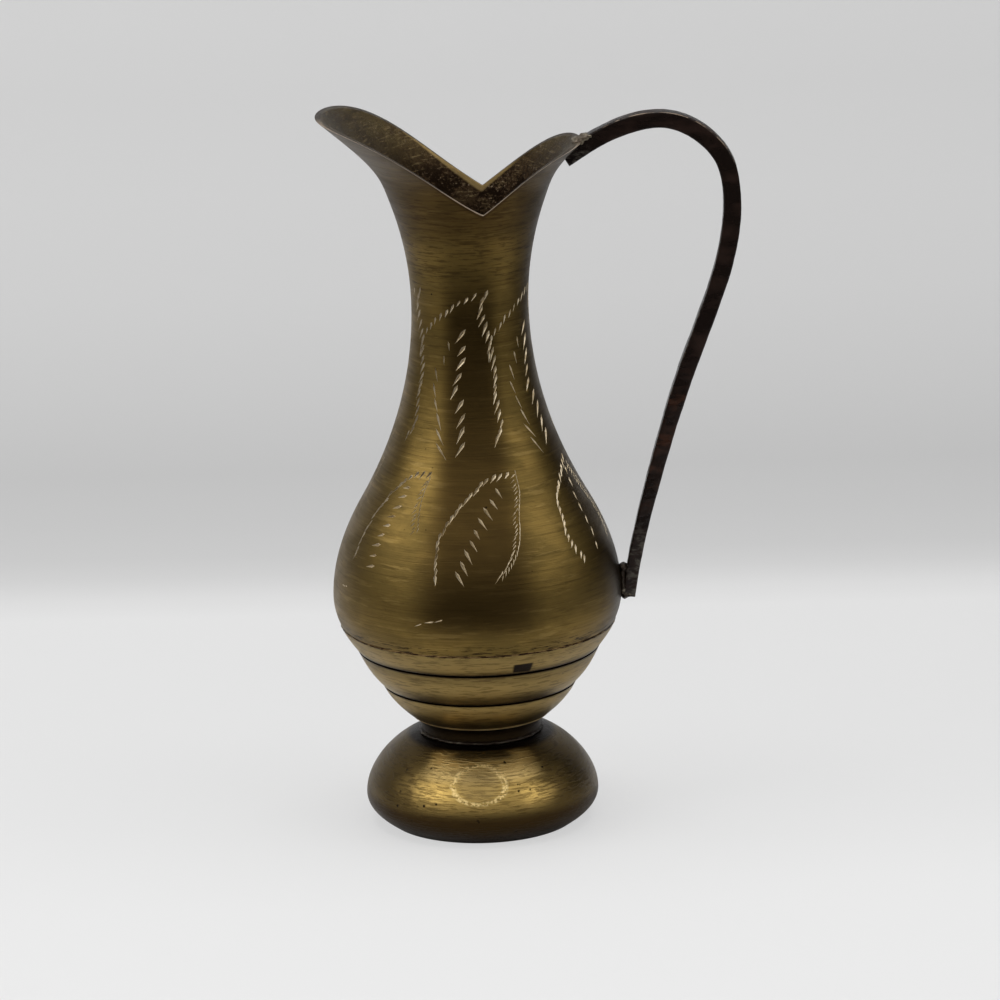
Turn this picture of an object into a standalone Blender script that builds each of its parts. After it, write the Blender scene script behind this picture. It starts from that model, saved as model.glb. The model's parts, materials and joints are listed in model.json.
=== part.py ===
"""Small brass bud vase in the shape of an ewer: pear body, stepped bowl, bell foot and bar handle.

The vase stands on z = 0 with its spout towards -X and its handle towards +X. All lengths are in
metres. Heights along the body are stacked from the foot upwards, so each one can be changed alone.
"""

import math

import bmesh
import bpy
from mathutils import Matrix, Vector

# Foot: a spun bell, open below, that stands on a narrow flat rim. The reaches, falls and rises
# of its shoulder, side and tuck are shares of the span that each of those curves covers
FOOT_HEIGHT = 0.0190
FOOT_RADIUS = 0.0243
FOOT_WIDEST_HEIGHT = 0.0059
FOOT_RIM_RADIUS = 0.0204
FOOT_RIM_LAND = 0.0012
FOOT_WALL = 0.0011
FOOT_SEAT_RADIUS = 0.0132
FOOT_SHOULDER_REACH = 0.42
FOOT_SHOULDER_FALL = 0.08
FOOT_SIDE_RISE = 0.45
FOOT_TUCK_FALL = 0.50
FOOT_TUCK_REACH = 0.30
FOOT_TUCK_RISE = 0.18
SPIGOT_RADIUS = 0.0070
SPIGOT_LENGTH = 0.0026
SPIGOT_WALL = 0.0015
SPIGOT_CLEARANCE = 0.0003

# Solder between the foot and the bowl
FOOT_BRAZE_HEIGHT = 0.0007
FOOT_BRAZE_BEAD = 0.0005

# Lower bowl: a collar and three terraces, each a height and the radius at its upper end
COLLAR_HEIGHT = 0.0028
COLLAR_RADIUS = 0.0125
RIDGE_RADIUS = 0.0145
LOWER_BAND_HEIGHT = 0.0071
LOWER_BAND_RADIUS = 0.0202
MIDDLE_BAND_HEIGHT = 0.0078
MIDDLE_BAND_RADIUS = 0.0253
UPPER_BAND_HEIGHT = 0.0052
SEAM_RADIUS = 0.0286
STEP_DEPTH = 0.0003
STEP_HEIGHT = 0.0006
BOWL_WALL = 0.0011
BOWL_FLOOR = 0.0014
LAP_HEIGHT = 0.0025
LAP_WALL = 0.0008
LAP_CLEARANCE = 0.0003

# Brazed seam between the bowl and the upper body
SEAM_BRAZE_HEIGHT = 0.0004
SEAM_BRAZE_BEAD = 0.0001

# Upper body: stations of its turned outline, from the seam up to the mouth
BODY_WALL = 0.0009
SEAM_TO_BELLY = 0.0057
BELLY_RADIUS = 0.0300
BELLY_TO_SHOULDER = 0.0205
SHOULDER_RADIUS = 0.0236
SHOULDER_TO_NECK = 0.0410
NECK_RADIUS = 0.01205
NECK_TO_THROAT = 0.0221
THROAT_RADIUS = 0.0160
THROAT_TO_FLARE = 0.0058
FLARE_RADIUS = 0.0186
FLARE_TO_MOUTH = 0.0122
MOUTH_RADIUS = 0.0310

# Slopes of the outline, as the change of radius with height
SEAM_SLOPE = 0.47
SHOULDER_SLOPE = -0.58
THROAT_SLOPE = 0.36
FLARE_SLOPE = 0.68
MOUTH_SLOPE = 1.12
BAND_TOP_SLOPE = 0.47
UPPER_BAND_END_SLOPE = 0.78
MIDDLE_BAND_END_SLOPE = 1.05
LOWER_BAND_END_SLOPE = 1.25

# Mouth: a saddle cut straight through, front to back, with a spout lobe and a lower handle lobe
SPOUT_DROP = 0.0003
NOTCH_DEPTH = 0.0183
NOTCH_OFFSET = 0.0032
LOBE_DROP = 0.0062
LOBE_REACH = 0.0243

# Shape of the saddle's two lines, as shares of their spans: how level they end and how they leave
# the notch
SPOUT_LEVEL = 0.44
SPOUT_NOTCH_REACH = 0.33
SPOUT_NOTCH_RISE = 0.31
LOBE_LEVEL = 0.25
LOBE_SWELL = 0.04
LOBE_NOTCH_REACH = 0.26
LOBE_NOTCH_RISE = 0.38

# Handle: one square bar, hammered thinner towards the belly. Each share is of the bar's thickness
BAR_THICKNESS = 0.0035
BAR_WIDTH = 0.0034
BAR_CHAMFER = 0.0004
BEND_SHARE = 1.05
SHIN_SHARE = 0.84
END_SHARE = 0.75

# The bar's middle line: reaches from the vase's axis, and drops below the crest
HANDLE_OUTMOST_REACH = 0.0560
HANDLE_RISE = 0.0057
HANDLE_CREST_REACH = 0.0392
HANDLE_BEND_REACH = 0.0513
HANDLE_BEND_DROP = 0.0065
HANDLE_OUTMOST_DROP = 0.0177
HANDLE_BACK_REACH = 0.0506
HANDLE_BACK_DROP = 0.0358
HANDLE_WAIST_REACH = 0.0444
HANDLE_WAIST_DROP = 0.0523
HANDLE_SHIN_REACH = 0.0372
HANDLE_SHIN_DROP = 0.0753
HANDLE_LIP_DROP = 0.0037
HANDLE_END_DROP = 0.0016

# Directions of the bar's middle line on its way down from the lip, in degrees below level
HANDLE_LIP_SLOPE = -32.0
HANDLE_BEND_SLOPE = 52.0
HANDLE_BACK_SLOPE = 109.0
HANDLE_WAIST_SLOPE = 110.0
HANDLE_SHIN_SLOPE = 106.0
HANDLE_END_SLOPE = 98.0

# Solder lumps at the two ends of the handle
JOINT_GAP = 0.0003
LUMP_ROUNDING = 0.45
LIP_BRAZE_LENGTH = 0.0044
LIP_BRAZE_WIDTH = 0.0050
LIP_BRAZE_THICKNESS = 0.0025
LIP_BRAZE_REACH = 0.00045
LIP_BRAZE_LIFT = 0.0013
LIP_BRAZE_SLOPE = -20.0
BELLY_BRAZE_LENGTH = 0.0072
BELLY_BRAZE_WIDTH = 0.0052
BELLY_BRAZE_THICKNESS = 0.0022
BELLY_BRAZE_REACH = 0.0005
BELLY_BRAZE_RISE = 0.0030
BELLY_BRAZE_SLOPE = 11.0

# Fineness of the solids
TURN_STEPS = 64
BODY_STEPS = (4, 2, 4, 6, 5, 3)
BAND_STEPS = 4
SHOULDER_STEPS = 8
TUCK_STEPS = 5
SADDLE_STEPS = 9
BEAD_STEPS = 4
CURVE_STEPS = 7
LUMP_STEPS = 4
SMOOTH_ANGLE = 35.0
MERGE_DISTANCE = 0.00001

# Heights that follow from the stack
collar_base = FOOT_HEIGHT + FOOT_BRAZE_HEIGHT
ridge_height = collar_base + COLLAR_HEIGHT
lower_band_top = ridge_height + LOWER_BAND_HEIGHT
middle_band_top = lower_band_top + MIDDLE_BAND_HEIGHT
bowl_top = middle_band_top + UPPER_BAND_HEIGHT
seam_height = bowl_top + SEAM_BRAZE_HEIGHT
belly_height = seam_height + SEAM_TO_BELLY
shoulder_height = belly_height + BELLY_TO_SHOULDER
neck_height = shoulder_height + SHOULDER_TO_NECK
throat_height = neck_height + NECK_TO_THROAT
flare_height = throat_height + THROAT_TO_FLARE
mouth_height = flare_height + FLARE_TO_MOUTH
spout_height = mouth_height - SPOUT_DROP
notch_height = spout_height - NOTCH_DEPTH
lobe_height = spout_height - LOBE_DROP


def clear_scene():
    for item in list(bpy.data.objects):
        bpy.data.objects.remove(item, do_unlink=True)


def new_collection(name):
    collection = bpy.data.collections.new(name)
    bpy.context.scene.collection.children.link(collection)
    return collection


def make_material(name, colour, roughness, metallic):
    material = bpy.data.materials.new(name)
    material.use_nodes = True
    shader = material.node_tree.nodes["Principled BSDF"]
    shader.inputs["Base Color"].default_value = (*colour, 1.0)
    shader.inputs["Roughness"].default_value = roughness
    shader.inputs["Metallic"].default_value = metallic
    return material


def hermite(start, end, steps):
    """Radius and height pairs from one station (height, radius, slope) to the next."""
    height_a, radius_a, slope_a = start
    height_b, radius_b, slope_b = end
    rise = height_b - height_a
    points = []
    for step in range(steps + 1):
        t = step / steps
        radius = (
            (2 * t**3 - 3 * t**2 + 1) * radius_a
            + (t**3 - 2 * t**2 + t) * rise * slope_a
            + (3 * t**2 - 2 * t**3) * radius_b
            + (t**3 - t**2) * rise * slope_b
        )
        points.append((radius, height_a + rise * t))
    return points


def bezier(first, first_handle, last_handle, last, steps):
    """Points of a cubic curve in a plane."""
    points = []
    for step in range(steps + 1):
        t = step / steps
        weights = ((1 - t) ** 3, 3 * t * (1 - t) ** 2, 3 * t**2 * (1 - t), t**3)
        corners = (first, first_handle, last_handle, last)
        points.append(tuple(sum(w * c[axis] for w, c in zip(weights, corners)) for axis in (0, 1)))
    return points


def joined(*runs):
    """Runs of points in one list, without the points that two runs share."""
    points = list(runs[0])
    for run in runs[1:]:
        near = math.dist(points[-1], run[0]) < MERGE_DISTANCE
        points.extend(run[1:] if near else run)
    return points


def offset(points, distance):
    """A run that goes down a wall, moved inwards by a distance, or outwards by a negative one."""
    moved = []
    for index, (radius, height) in enumerate(points):
        before = Vector(points[max(index - 1, 0)])
        after = Vector(points[min(index + 1, len(points) - 1)])
        along = (after - before).normalized()
        moved.append((radius + along.y * distance, height - along.x * distance))
    return moved


def radius_at(points, height):
    """Radius of a turned outline at a height."""
    ordered = sorted(points, key=lambda point: point[1])
    for (radius_a, height_a), (radius_b, height_b) in zip(ordered, ordered[1:]):
        if height_a <= height <= height_b:
            return radius_a + (radius_b - radius_a) * (height - height_a) / (height_b - height_a)
    return ordered[-1][0]


# Outer outline of the upper body, from the mouth down to the seam
body_stations = [
    (mouth_height, MOUTH_RADIUS, MOUTH_SLOPE),
    (flare_height, FLARE_RADIUS, FLARE_SLOPE),
    (throat_height, THROAT_RADIUS, THROAT_SLOPE),
    (neck_height, NECK_RADIUS, 0.0),
    (shoulder_height, SHOULDER_RADIUS, SHOULDER_SLOPE),
    (belly_height, BELLY_RADIUS, 0.0),
    (seam_height, SEAM_RADIUS, SEAM_SLOPE),
]
body_outline = joined(
    *(hermite(a, b, steps) for a, b, steps in zip(body_stations, body_stations[1:], BODY_STEPS))
)

# The vase's axis lies to one side of the origin, which is the middle of the whole width
spout_reach = radius_at(body_outline, spout_height)
axis_x = (spout_reach - HANDLE_OUTMOST_REACH) / 2


def new_object(name, mesh, collection, material=None):
    item = bpy.data.objects.new(name, mesh)
    collection.objects.link(item)
    item.parent = axis_empty
    if material:
        mesh.materials.append(material)
    return item


def turned(name, points, closed, collection, material=None):
    """A solid of revolution about the vase's axis, from its outline."""
    mesh = bpy.data.meshes.new(name)
    count = len(points)
    edges = [(index, index + 1) for index in range(count - 1)]
    if closed:
        edges.append((count - 1, 0))
    mesh.from_pydata([(radius, 0.0, height) for radius, height in points], edges, [])
    item = new_object(name, mesh, collection, material)
    screw = item.modifiers.new("Turn", "SCREW")
    screw.axis = "Z"
    screw.angle = math.tau
    screw.steps = TURN_STEPS
    screw.render_steps = TURN_STEPS
    screw.use_merge_vertices = True
    screw.merge_threshold = MERGE_DISTANCE
    screw.use_smooth_shade = True
    return item


def as_cutter(item):
    item.hide_render = True
    item.display_type = "WIRE"
    return item


def cut(item, cutter):
    boolean = item.modifiers.new("Cut " + cutter.name, "BOOLEAN")
    boolean.operation = "DIFFERENCE"
    boolean.solver = "EXACT"
    boolean.object = cutter


def mesh_from_curve(curve_object, name, collection, material=None):
    """The solid of a curve object, its caps welded, as a mesh object in the same place."""
    bpy.context.view_layer.update()
    graph = bpy.context.evaluated_depsgraph_get()
    mesh = bpy.data.meshes.new_from_object(curve_object.evaluated_get(graph))
    mesh.name = name
    solid = bmesh.new()
    solid.from_mesh(mesh)
    bmesh.ops.remove_doubles(solid, verts=solid.verts, dist=MERGE_DISTANCE)
    bmesh.ops.recalc_face_normals(solid, faces=solid.faces)
    solid.to_mesh(mesh)
    solid.free()
    mesh.transform(curve_object.matrix_local)
    bpy.data.objects.remove(curve_object, do_unlink=True)
    return new_object(name, mesh, collection, material)


def shade_round(item):
    item.data.shade_smooth()
    item.data.set_sharp_from_angle(angle=math.radians(SMOOTH_ANGLE))


def make_upper_body():
    """Neck, belly and mouth, one thin shell with its mouth cut into two lobes."""
    inner = offset(body_outline, BODY_WALL)
    inner[-1] = (SEAM_RADIUS - BODY_WALL, seam_height)
    shell = turned("upper_body", body_outline + inner[::-1], True, vase, brass_worn)
    cut(shell, make_mouth_cutter("mouth_cutter"))


def make_mouth_cutter(name):
    """Everything above the saddle line, as a block that runs right through from front to back."""
    notch = (NOTCH_OFFSET, notch_height)
    spout_tip = (-spout_reach - BODY_WALL, spout_height)
    spout_line = bezier(
        spout_tip,
        (spout_tip[0] + SPOUT_LEVEL * spout_reach, spout_height),
        (
            notch[0] - SPOUT_NOTCH_REACH * spout_reach,
            notch_height + SPOUT_NOTCH_RISE * NOTCH_DEPTH,
        ),
        notch,
        SADDLE_STEPS,
    )
    lobe_tip = (LOBE_REACH, lobe_height)
    lobe_rise = lobe_height - notch_height
    lobe_line = bezier(
        notch,
        (notch[0] + LOBE_NOTCH_REACH * LOBE_REACH, notch_height + LOBE_NOTCH_RISE * lobe_rise),
        (lobe_tip[0] - LOBE_LEVEL * LOBE_REACH, lobe_height + LOBE_SWELL * lobe_rise),
        lobe_tip,
        SADDLE_STEPS,
    )
    clear = 2 * MOUTH_RADIUS
    beyond = [
        (clear, lobe_height),
        (clear, mouth_height + NOTCH_DEPTH),
        (-clear, mouth_height + NOTCH_DEPTH),
        (-clear, spout_height),
    ]
    outline = joined(spout_line, lobe_line) + beyond
    data = bpy.data.curves.new(name + "_outline", "CURVE")
    data.dimensions = "2D"
    data.fill_mode = "BOTH"
    data.extrude = clear
    spline = data.splines.new("POLY")
    spline.points.add(len(outline) - 1)
    for point, (across, height) in zip(spline.points, outline):
        point.co = (across, height, 0.0, 1.0)
    spline.use_cyclic_u = True
    flat = bpy.data.objects.new(name + "_outline", data)
    cutters.objects.link(flat)
    flat.rotation_euler = (math.pi / 2, 0.0, 0.0)
    return as_cutter(mesh_from_curve(flat, name, cutters))


def make_lower_bowl():
    """Closed bowl with three terraces, a lap that enters the body and a spigot for the foot."""

    def terrace(top, top_radius, bottom, bottom_radius, end_slope):
        return hermite(
            (top, top_radius, BAND_TOP_SLOPE),
            (bottom, bottom_radius, end_slope),
            BAND_STEPS,
        )

    def lip_over(height, radius):
        """Lower end of a terrace, just outside and above the start of the next one."""
        return height + STEP_HEIGHT, radius + STEP_DEPTH

    lip_1 = lip_over(middle_band_top, MIDDLE_BAND_RADIUS)
    lip_2 = lip_over(lower_band_top, LOWER_BAND_RADIUS)
    outer = joined(
        terrace(bowl_top, SEAM_RADIUS, *lip_1, UPPER_BAND_END_SLOPE),
        [(MIDDLE_BAND_RADIUS - STEP_DEPTH, middle_band_top + STEP_DEPTH)],
        terrace(middle_band_top, MIDDLE_BAND_RADIUS, *lip_2, MIDDLE_BAND_END_SLOPE),
        [(LOWER_BAND_RADIUS - STEP_DEPTH, lower_band_top + STEP_DEPTH)],
        terrace(lower_band_top, LOWER_BAND_RADIUS, ridge_height, RIDGE_RADIUS, LOWER_BAND_END_SLOPE),
    )
    collar = bezier(
        (RIDGE_RADIUS - STEP_DEPTH, ridge_height - STEP_DEPTH),
        (COLLAR_RADIUS + STEP_DEPTH, ridge_height - STEP_HEIGHT),
        (COLLAR_RADIUS, collar_base + STEP_HEIGHT),
        (COLLAR_RADIUS, collar_base),
        BAND_STEPS,
    )
    lap_outer = SEAM_RADIUS - BODY_WALL - LAP_CLEARANCE
    lap = [
        (lap_outer - LAP_WALL, bowl_top),
        (lap_outer - LAP_WALL, bowl_top + LAP_HEIGHT),
        (lap_outer, bowl_top + LAP_HEIGHT),
        (lap_outer, bowl_top),
    ]
    floor_height = ridge_height + BOWL_FLOOR
    slant = (SEAM_RADIUS - RIDGE_RADIUS) / (bowl_top - ridge_height)
    wall_across = BOWL_WALL * math.hypot(1.0, slant)
    inner = [
        (0.0, floor_height),
        (RIDGE_RADIUS - wall_across, floor_height),
        (LOWER_BAND_RADIUS - STEP_DEPTH - wall_across, lower_band_top),
        (MIDDLE_BAND_RADIUS - STEP_DEPTH - wall_across, middle_band_top),
    ]
    spigot_end = collar_base - SPIGOT_LENGTH
    spigot = [
        (SPIGOT_RADIUS, collar_base),
        (SPIGOT_RADIUS, spigot_end),
        (SPIGOT_RADIUS - SPIGOT_WALL, spigot_end),
        (SPIGOT_RADIUS - SPIGOT_WALL, ridge_height),
        (0.0, ridge_height),
    ]
    turned("lower_bowl", inner + lap + joined(outer, collar) + spigot, False, vase, brass_worn)


def make_foot():
    """Bell-shaped foot: flat seat on top, round shoulder, edge tucked in to a flat rim."""
    across = FOOT_RADIUS - FOOT_SEAT_RADIUS
    side = FOOT_HEIGHT - FOOT_WIDEST_HEIGHT
    tuck = FOOT_RADIUS - FOOT_RIM_RADIUS
    shoulder = bezier(
        (FOOT_SEAT_RADIUS, FOOT_HEIGHT),
        (FOOT_SEAT_RADIUS + FOOT_SHOULDER_REACH * across, FOOT_HEIGHT * (1 - FOOT_SHOULDER_FALL)),
        (FOOT_RADIUS, FOOT_WIDEST_HEIGHT + FOOT_SIDE_RISE * side),
        (FOOT_RADIUS, FOOT_WIDEST_HEIGHT),
        SHOULDER_STEPS,
    )
    turned_in = bezier(
        (FOOT_RADIUS, FOOT_WIDEST_HEIGHT),
        (FOOT_RADIUS, FOOT_WIDEST_HEIGHT * (1 - FOOT_TUCK_FALL)),
        (FOOT_RIM_RADIUS + FOOT_TUCK_REACH * tuck, FOOT_TUCK_RISE * FOOT_WIDEST_HEIGHT),
        (FOOT_RIM_RADIUS, 0.0),
        TUCK_STEPS,
    )
    outer = joined(shoulder, turned_in)
    bore = SPIGOT_RADIUS + SPIGOT_CLEARANCE
    inner = offset(outer, FOOT_WALL)
    inner[0] = (FOOT_SEAT_RADIUS, FOOT_HEIGHT - FOOT_WALL)
    inner[-1] = (FOOT_RIM_RADIUS - FOOT_RIM_LAND, 0.0)
    outline = [(bore, FOOT_HEIGHT), *outer, *inner[::-1], (bore, FOOT_HEIGHT - FOOT_WALL)]
    turned("foot", outline, True, vase, brass_bright)


def bead(inner_radius, outer_radius, bottom, height, bulge):
    """Outline of a thin ring with a round outer edge."""
    edge = []
    for step in range(BEAD_STEPS + 1):
        angle = math.pi / 2 - math.pi * step / BEAD_STEPS
        rise = height / 2 * (1 + math.sin(angle))
        edge.append((outer_radius + bulge * math.cos(angle), bottom + rise))
    return [*edge, (inner_radius, bottom), (inner_radius, bottom + height)]


def make_braze_rings():
    """Brazing in the belly seam, and the solder between the bowl and the foot."""
    seam = bead(
        SEAM_RADIUS - BODY_WALL,
        SEAM_RADIUS,
        bowl_top,
        SEAM_BRAZE_HEIGHT,
        SEAM_BRAZE_BEAD,
    )
    turned("belly_seam_braze", seam, True, vase, braze_pale)
    ring = bead(
        SPIGOT_RADIUS + SPIGOT_CLEARANCE,
        COLLAR_RADIUS,
        FOOT_HEIGHT,
        FOOT_BRAZE_HEIGHT,
        FOOT_BRAZE_BEAD,
    )
    turned("foot_braze_ring", ring, True, vase, solder_grey)


def handle_knots():
    """Knots of the bar's middle line: place, direction, and share of the bar's full thickness."""

    def heading(degrees_down):
        angle = math.radians(degrees_down)
        return Vector((math.cos(angle), -math.sin(angle)))

    half = BAR_THICKNESS / 2
    crest_height = lobe_height + HANDLE_RISE - half
    lip_height = lobe_height - HANDLE_LIP_DROP
    lip = Vector((radius_at(body_outline, lip_height), lip_height))
    end_height = belly_height - HANDLE_END_DROP
    end_reach = radius_at(body_outline, end_height) + JOINT_GAP + END_SHARE * half

    def below_crest(reach, drop):
        return Vector((reach, crest_height - drop))

    return [
        (lip, heading(HANDLE_LIP_SLOPE), 1.0),
        (below_crest(HANDLE_CREST_REACH, 0.0), heading(0.0), 1.0),
        (below_crest(HANDLE_BEND_REACH, HANDLE_BEND_DROP), heading(HANDLE_BEND_SLOPE), BEND_SHARE),
        (
            below_crest(HANDLE_OUTMOST_REACH - BEND_SHARE * half, HANDLE_OUTMOST_DROP),
            heading(90.0),
            BEND_SHARE,
        ),
        (below_crest(HANDLE_BACK_REACH, HANDLE_BACK_DROP), heading(HANDLE_BACK_SLOPE), 1.0),
        (below_crest(HANDLE_WAIST_REACH, HANDLE_WAIST_DROP), heading(HANDLE_WAIST_SLOPE), 1.0),
        (below_crest(HANDLE_SHIN_REACH, HANDLE_SHIN_DROP), heading(HANDLE_SHIN_SLOPE), SHIN_SHARE),
        (Vector((end_reach, end_height)), heading(HANDLE_END_SLOPE), END_SHARE),
    ]


def curve_arm(knot, other):
    """Length of a knot's arm towards another knot, as for an arc of the same turn."""
    turn = knot[1].angle(other[1])
    return (knot[0] - other[0]).length / (3 * math.cos(turn / 4) ** 2)


def bar_curve(name, grow):
    """The bent bar as a curve with a chamfered rectangle as its section."""
    half_depth = BAR_THICKNESS / 2 + grow
    half_width = BAR_WIDTH / 2 + grow
    chamfer = BAR_CHAMFER
    corners = []
    for sign_x, sign_y in ((1, 1), (-1, 1), (-1, -1), (1, -1)):
        near = (sign_x * half_depth, sign_y * (half_width - chamfer))
        far = (sign_x * (half_depth - chamfer), sign_y * half_width)
        corners.extend((near, far) if sign_x == sign_y else (far, near))
    section_data = bpy.data.curves.new(name + "_section", "CURVE")
    section_data.dimensions = "2D"
    spline = section_data.splines.new("POLY")
    spline.points.add(len(corners) - 1)
    for point, (x, y) in zip(spline.points, corners):
        point.co = (x, y, 0.0, 1.0)
    spline.use_cyclic_u = True
    section = bpy.data.objects.new(name + "_section", section_data)
    cutters.objects.link(section)
    as_cutter(section)
    data = bpy.data.curves.new(name + "_path", "CURVE")
    data.dimensions = "2D"
    data.resolution_u = CURVE_STEPS
    data.bevel_mode = "OBJECT"
    data.bevel_object = section
    data.use_fill_caps = True
    knots = handle_knots()
    path = data.splines.new("BEZIER")
    path.bezier_points.add(len(knots) - 1)
    for index, (point, knot) in enumerate(zip(path.bezier_points, knots)):
        place, direction, size = knot
        back = curve_arm(knot, knots[max(index - 1, 0)])
        forward = curve_arm(knot, knots[min(index + 1, len(knots) - 1)])
        point.handle_left_type = "FREE"
        point.handle_right_type = "FREE"
        point.co = (*place, 0.0)
        point.handle_left = (*(place - direction * back), 0.0)
        point.handle_right = (*(place + direction * forward), 0.0)
        point.radius = size
    item = bpy.data.objects.new(name + "_path", data)
    cutters.objects.link(item)
    item.matrix_local = Matrix.Rotation(math.pi / 2, 4, "X")
    return item


def make_body_cutter():
    """The space of the upper body and the bowl's edge, with the joint gap around it."""
    above_mouth = make_mouth_cutter("raised_mouth_cutter")
    above_mouth.location = (0.0, 0.0, JOINT_GAP)
    outline = offset(body_outline, -JOINT_GAP)
    foot_point = (outline[-1][0], seam_height - SEAM_TO_BELLY)
    points = [(0.0, outline[0][1]), *outline, foot_point, (0.0, foot_point[1])]
    around_body = as_cutter(turned("body_cutter", points, False, cutters))
    cut(around_body, above_mouth)
    return around_body


def make_handle(around_body):
    """Bent bar, its upper end cut to the flare and its lower end to the belly."""
    handle = mesh_from_curve(bar_curve("handle", 0.0), "handle", vase, bar_dark)
    cut(handle, around_body)
    shade_round(handle)


def solder_lump(name, place, size, slope, around_body, around_bar, material):
    """A rounded lump of solder that fits the body and the bar, with the joint gap to both."""
    bpy.ops.mesh.primitive_cube_add(size=1.0)
    lump = bpy.context.active_object
    lump.name = name
    lump.data.name = name
    lump.data.transform(Matrix.Diagonal((*size, 1.0)))
    lump.data.transform(Matrix.Rotation(math.radians(slope), 4, "Y"))
    for holder in list(lump.users_collection):
        holder.objects.unlink(lump)
    vase.objects.link(lump)
    lump.parent = axis_empty
    lump.location = place
    lump.data.materials.append(material)
    rounding = lump.modifiers.new("Rounding", "BEVEL")
    rounding.width = LUMP_ROUNDING * min(size)
    rounding.segments = LUMP_STEPS
    cut(lump, around_body)
    cut(lump, around_bar)
    shade_round(lump)


def make_handle_brazes(around_body):
    around_bar = as_cutter(mesh_from_curve(bar_curve("bar_cutter", JOINT_GAP), "bar_cutter", cutters))
    knots = handle_knots()
    lip, lip_heading, _ = knots[0]
    up = Vector((-lip_heading.y, lip_heading.x))
    to_edge = (radius_at(body_outline, lobe_height) - lip.x) / lip_heading.x
    on_bar = lip + lip_heading * (to_edge + LIP_BRAZE_REACH) + up * LIP_BRAZE_LIFT
    solder_lump(
        "handle_lip_braze",
        (on_bar.x, 0.0, on_bar.y),
        (LIP_BRAZE_LENGTH, LIP_BRAZE_WIDTH, LIP_BRAZE_THICKNESS),
        LIP_BRAZE_SLOPE,
        around_body,
        around_bar,
        braze_pale,
    )
    lump_height = knots[-1][0].y + BELLY_BRAZE_RISE
    lump_reach = radius_at(body_outline, lump_height) + BELLY_BRAZE_REACH
    solder_lump(
        "handle_belly_braze",
        (lump_reach, 0.0, lump_height),
        (BELLY_BRAZE_THICKNESS, BELLY_BRAZE_WIDTH, BELLY_BRAZE_LENGTH),
        BELLY_BRAZE_SLOPE,
        around_body,
        around_bar,
        solder_grey,
    )


clear_scene()
vase = new_collection("brass_bud_vase")
cutters = new_collection("cutters")
axis_empty = bpy.data.objects.new("vase_axis", None)
axis_empty.location = (axis_x, 0.0, 0.0)
vase.objects.link(axis_empty)

brass_worn = make_material("brass_worn", (0.34, 0.26, 0.12), 0.38, 0.95)
brass_bright = make_material("brass_bright", (0.52, 0.38, 0.16), 0.3, 0.97)
bar_dark = make_material("bar_dark", (0.045, 0.028, 0.02), 0.42, 0.8)
braze_pale = make_material("braze_pale", (0.62, 0.56, 0.38), 0.45, 0.9)
solder_grey = make_material("solder_grey", (0.16, 0.14, 0.12), 0.6, 0.7)

make_foot()
make_lower_bowl()
make_upper_body()
make_braze_rings()
whole_body = make_body_cutter()
make_handle(whole_body)
make_handle_brazes(whole_body)
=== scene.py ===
# %% [markdown]
# A small brass bud vase in the shape of an ewer. It was spun and soldered from a few pieces: a
# pear-shaped body with a saddle-cut mouth, a stepped lower bowl, a bell foot and a bent iron
# bar for a handle. Rows of leaves are struck into the body with a small chisel. This lesson
# dresses the plain solids: each piece is modelled again with finer detail, and gets the finish
# that age has given it. All lengths are in metres, and the vase stands on z = 0.

# %% Frame and box
import json
import math
import random
from contextlib import contextmanager
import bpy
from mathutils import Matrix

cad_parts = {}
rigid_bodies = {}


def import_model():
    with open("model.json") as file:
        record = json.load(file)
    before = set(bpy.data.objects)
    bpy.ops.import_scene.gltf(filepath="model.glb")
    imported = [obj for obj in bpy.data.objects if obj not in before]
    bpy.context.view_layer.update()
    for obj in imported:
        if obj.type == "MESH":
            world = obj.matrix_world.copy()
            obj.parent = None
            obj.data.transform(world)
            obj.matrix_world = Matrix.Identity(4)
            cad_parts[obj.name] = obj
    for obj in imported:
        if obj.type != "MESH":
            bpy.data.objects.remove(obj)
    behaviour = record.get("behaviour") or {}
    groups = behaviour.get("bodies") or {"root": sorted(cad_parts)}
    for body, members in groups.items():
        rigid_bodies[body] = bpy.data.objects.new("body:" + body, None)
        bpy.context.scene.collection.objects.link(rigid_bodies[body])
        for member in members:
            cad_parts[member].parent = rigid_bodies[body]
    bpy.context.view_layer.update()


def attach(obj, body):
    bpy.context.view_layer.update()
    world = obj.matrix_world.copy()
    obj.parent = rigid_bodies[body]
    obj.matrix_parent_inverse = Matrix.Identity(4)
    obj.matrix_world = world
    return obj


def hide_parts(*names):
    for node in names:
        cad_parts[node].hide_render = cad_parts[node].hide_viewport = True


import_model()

from types import SimpleNamespace

import bpy
import numpy as np
from mathutils import Matrix, Vector, noise

# %% [markdown]
# The camera comes first. The picture was taken from the front and a little above, with a long lens
# and a slight roll. The vase's axis isn't at the origin, because the handle takes up one side, so
# the aim is given from the axis.

# %% Camera
SPOUT_REACH = 0.030658676
HANDLE_REACH = 0.0560
AXIS_X = (SPOUT_REACH - HANDLE_REACH) / 2
CAMERA_PITCH = math.radians(15.0)
CAMERA_ROLL = math.radians(-1.46)
CAMERA_DISTANCE = 1.1609
AIM = Vector((AXIS_X + 0.00516, 0.0, 0.0682))


def link(name, data):
    """Puts a new object with this data into the scene."""
    item = bpy.data.objects.new(name, data)
    bpy.context.scene.collection.objects.link(item)
    return item


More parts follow.
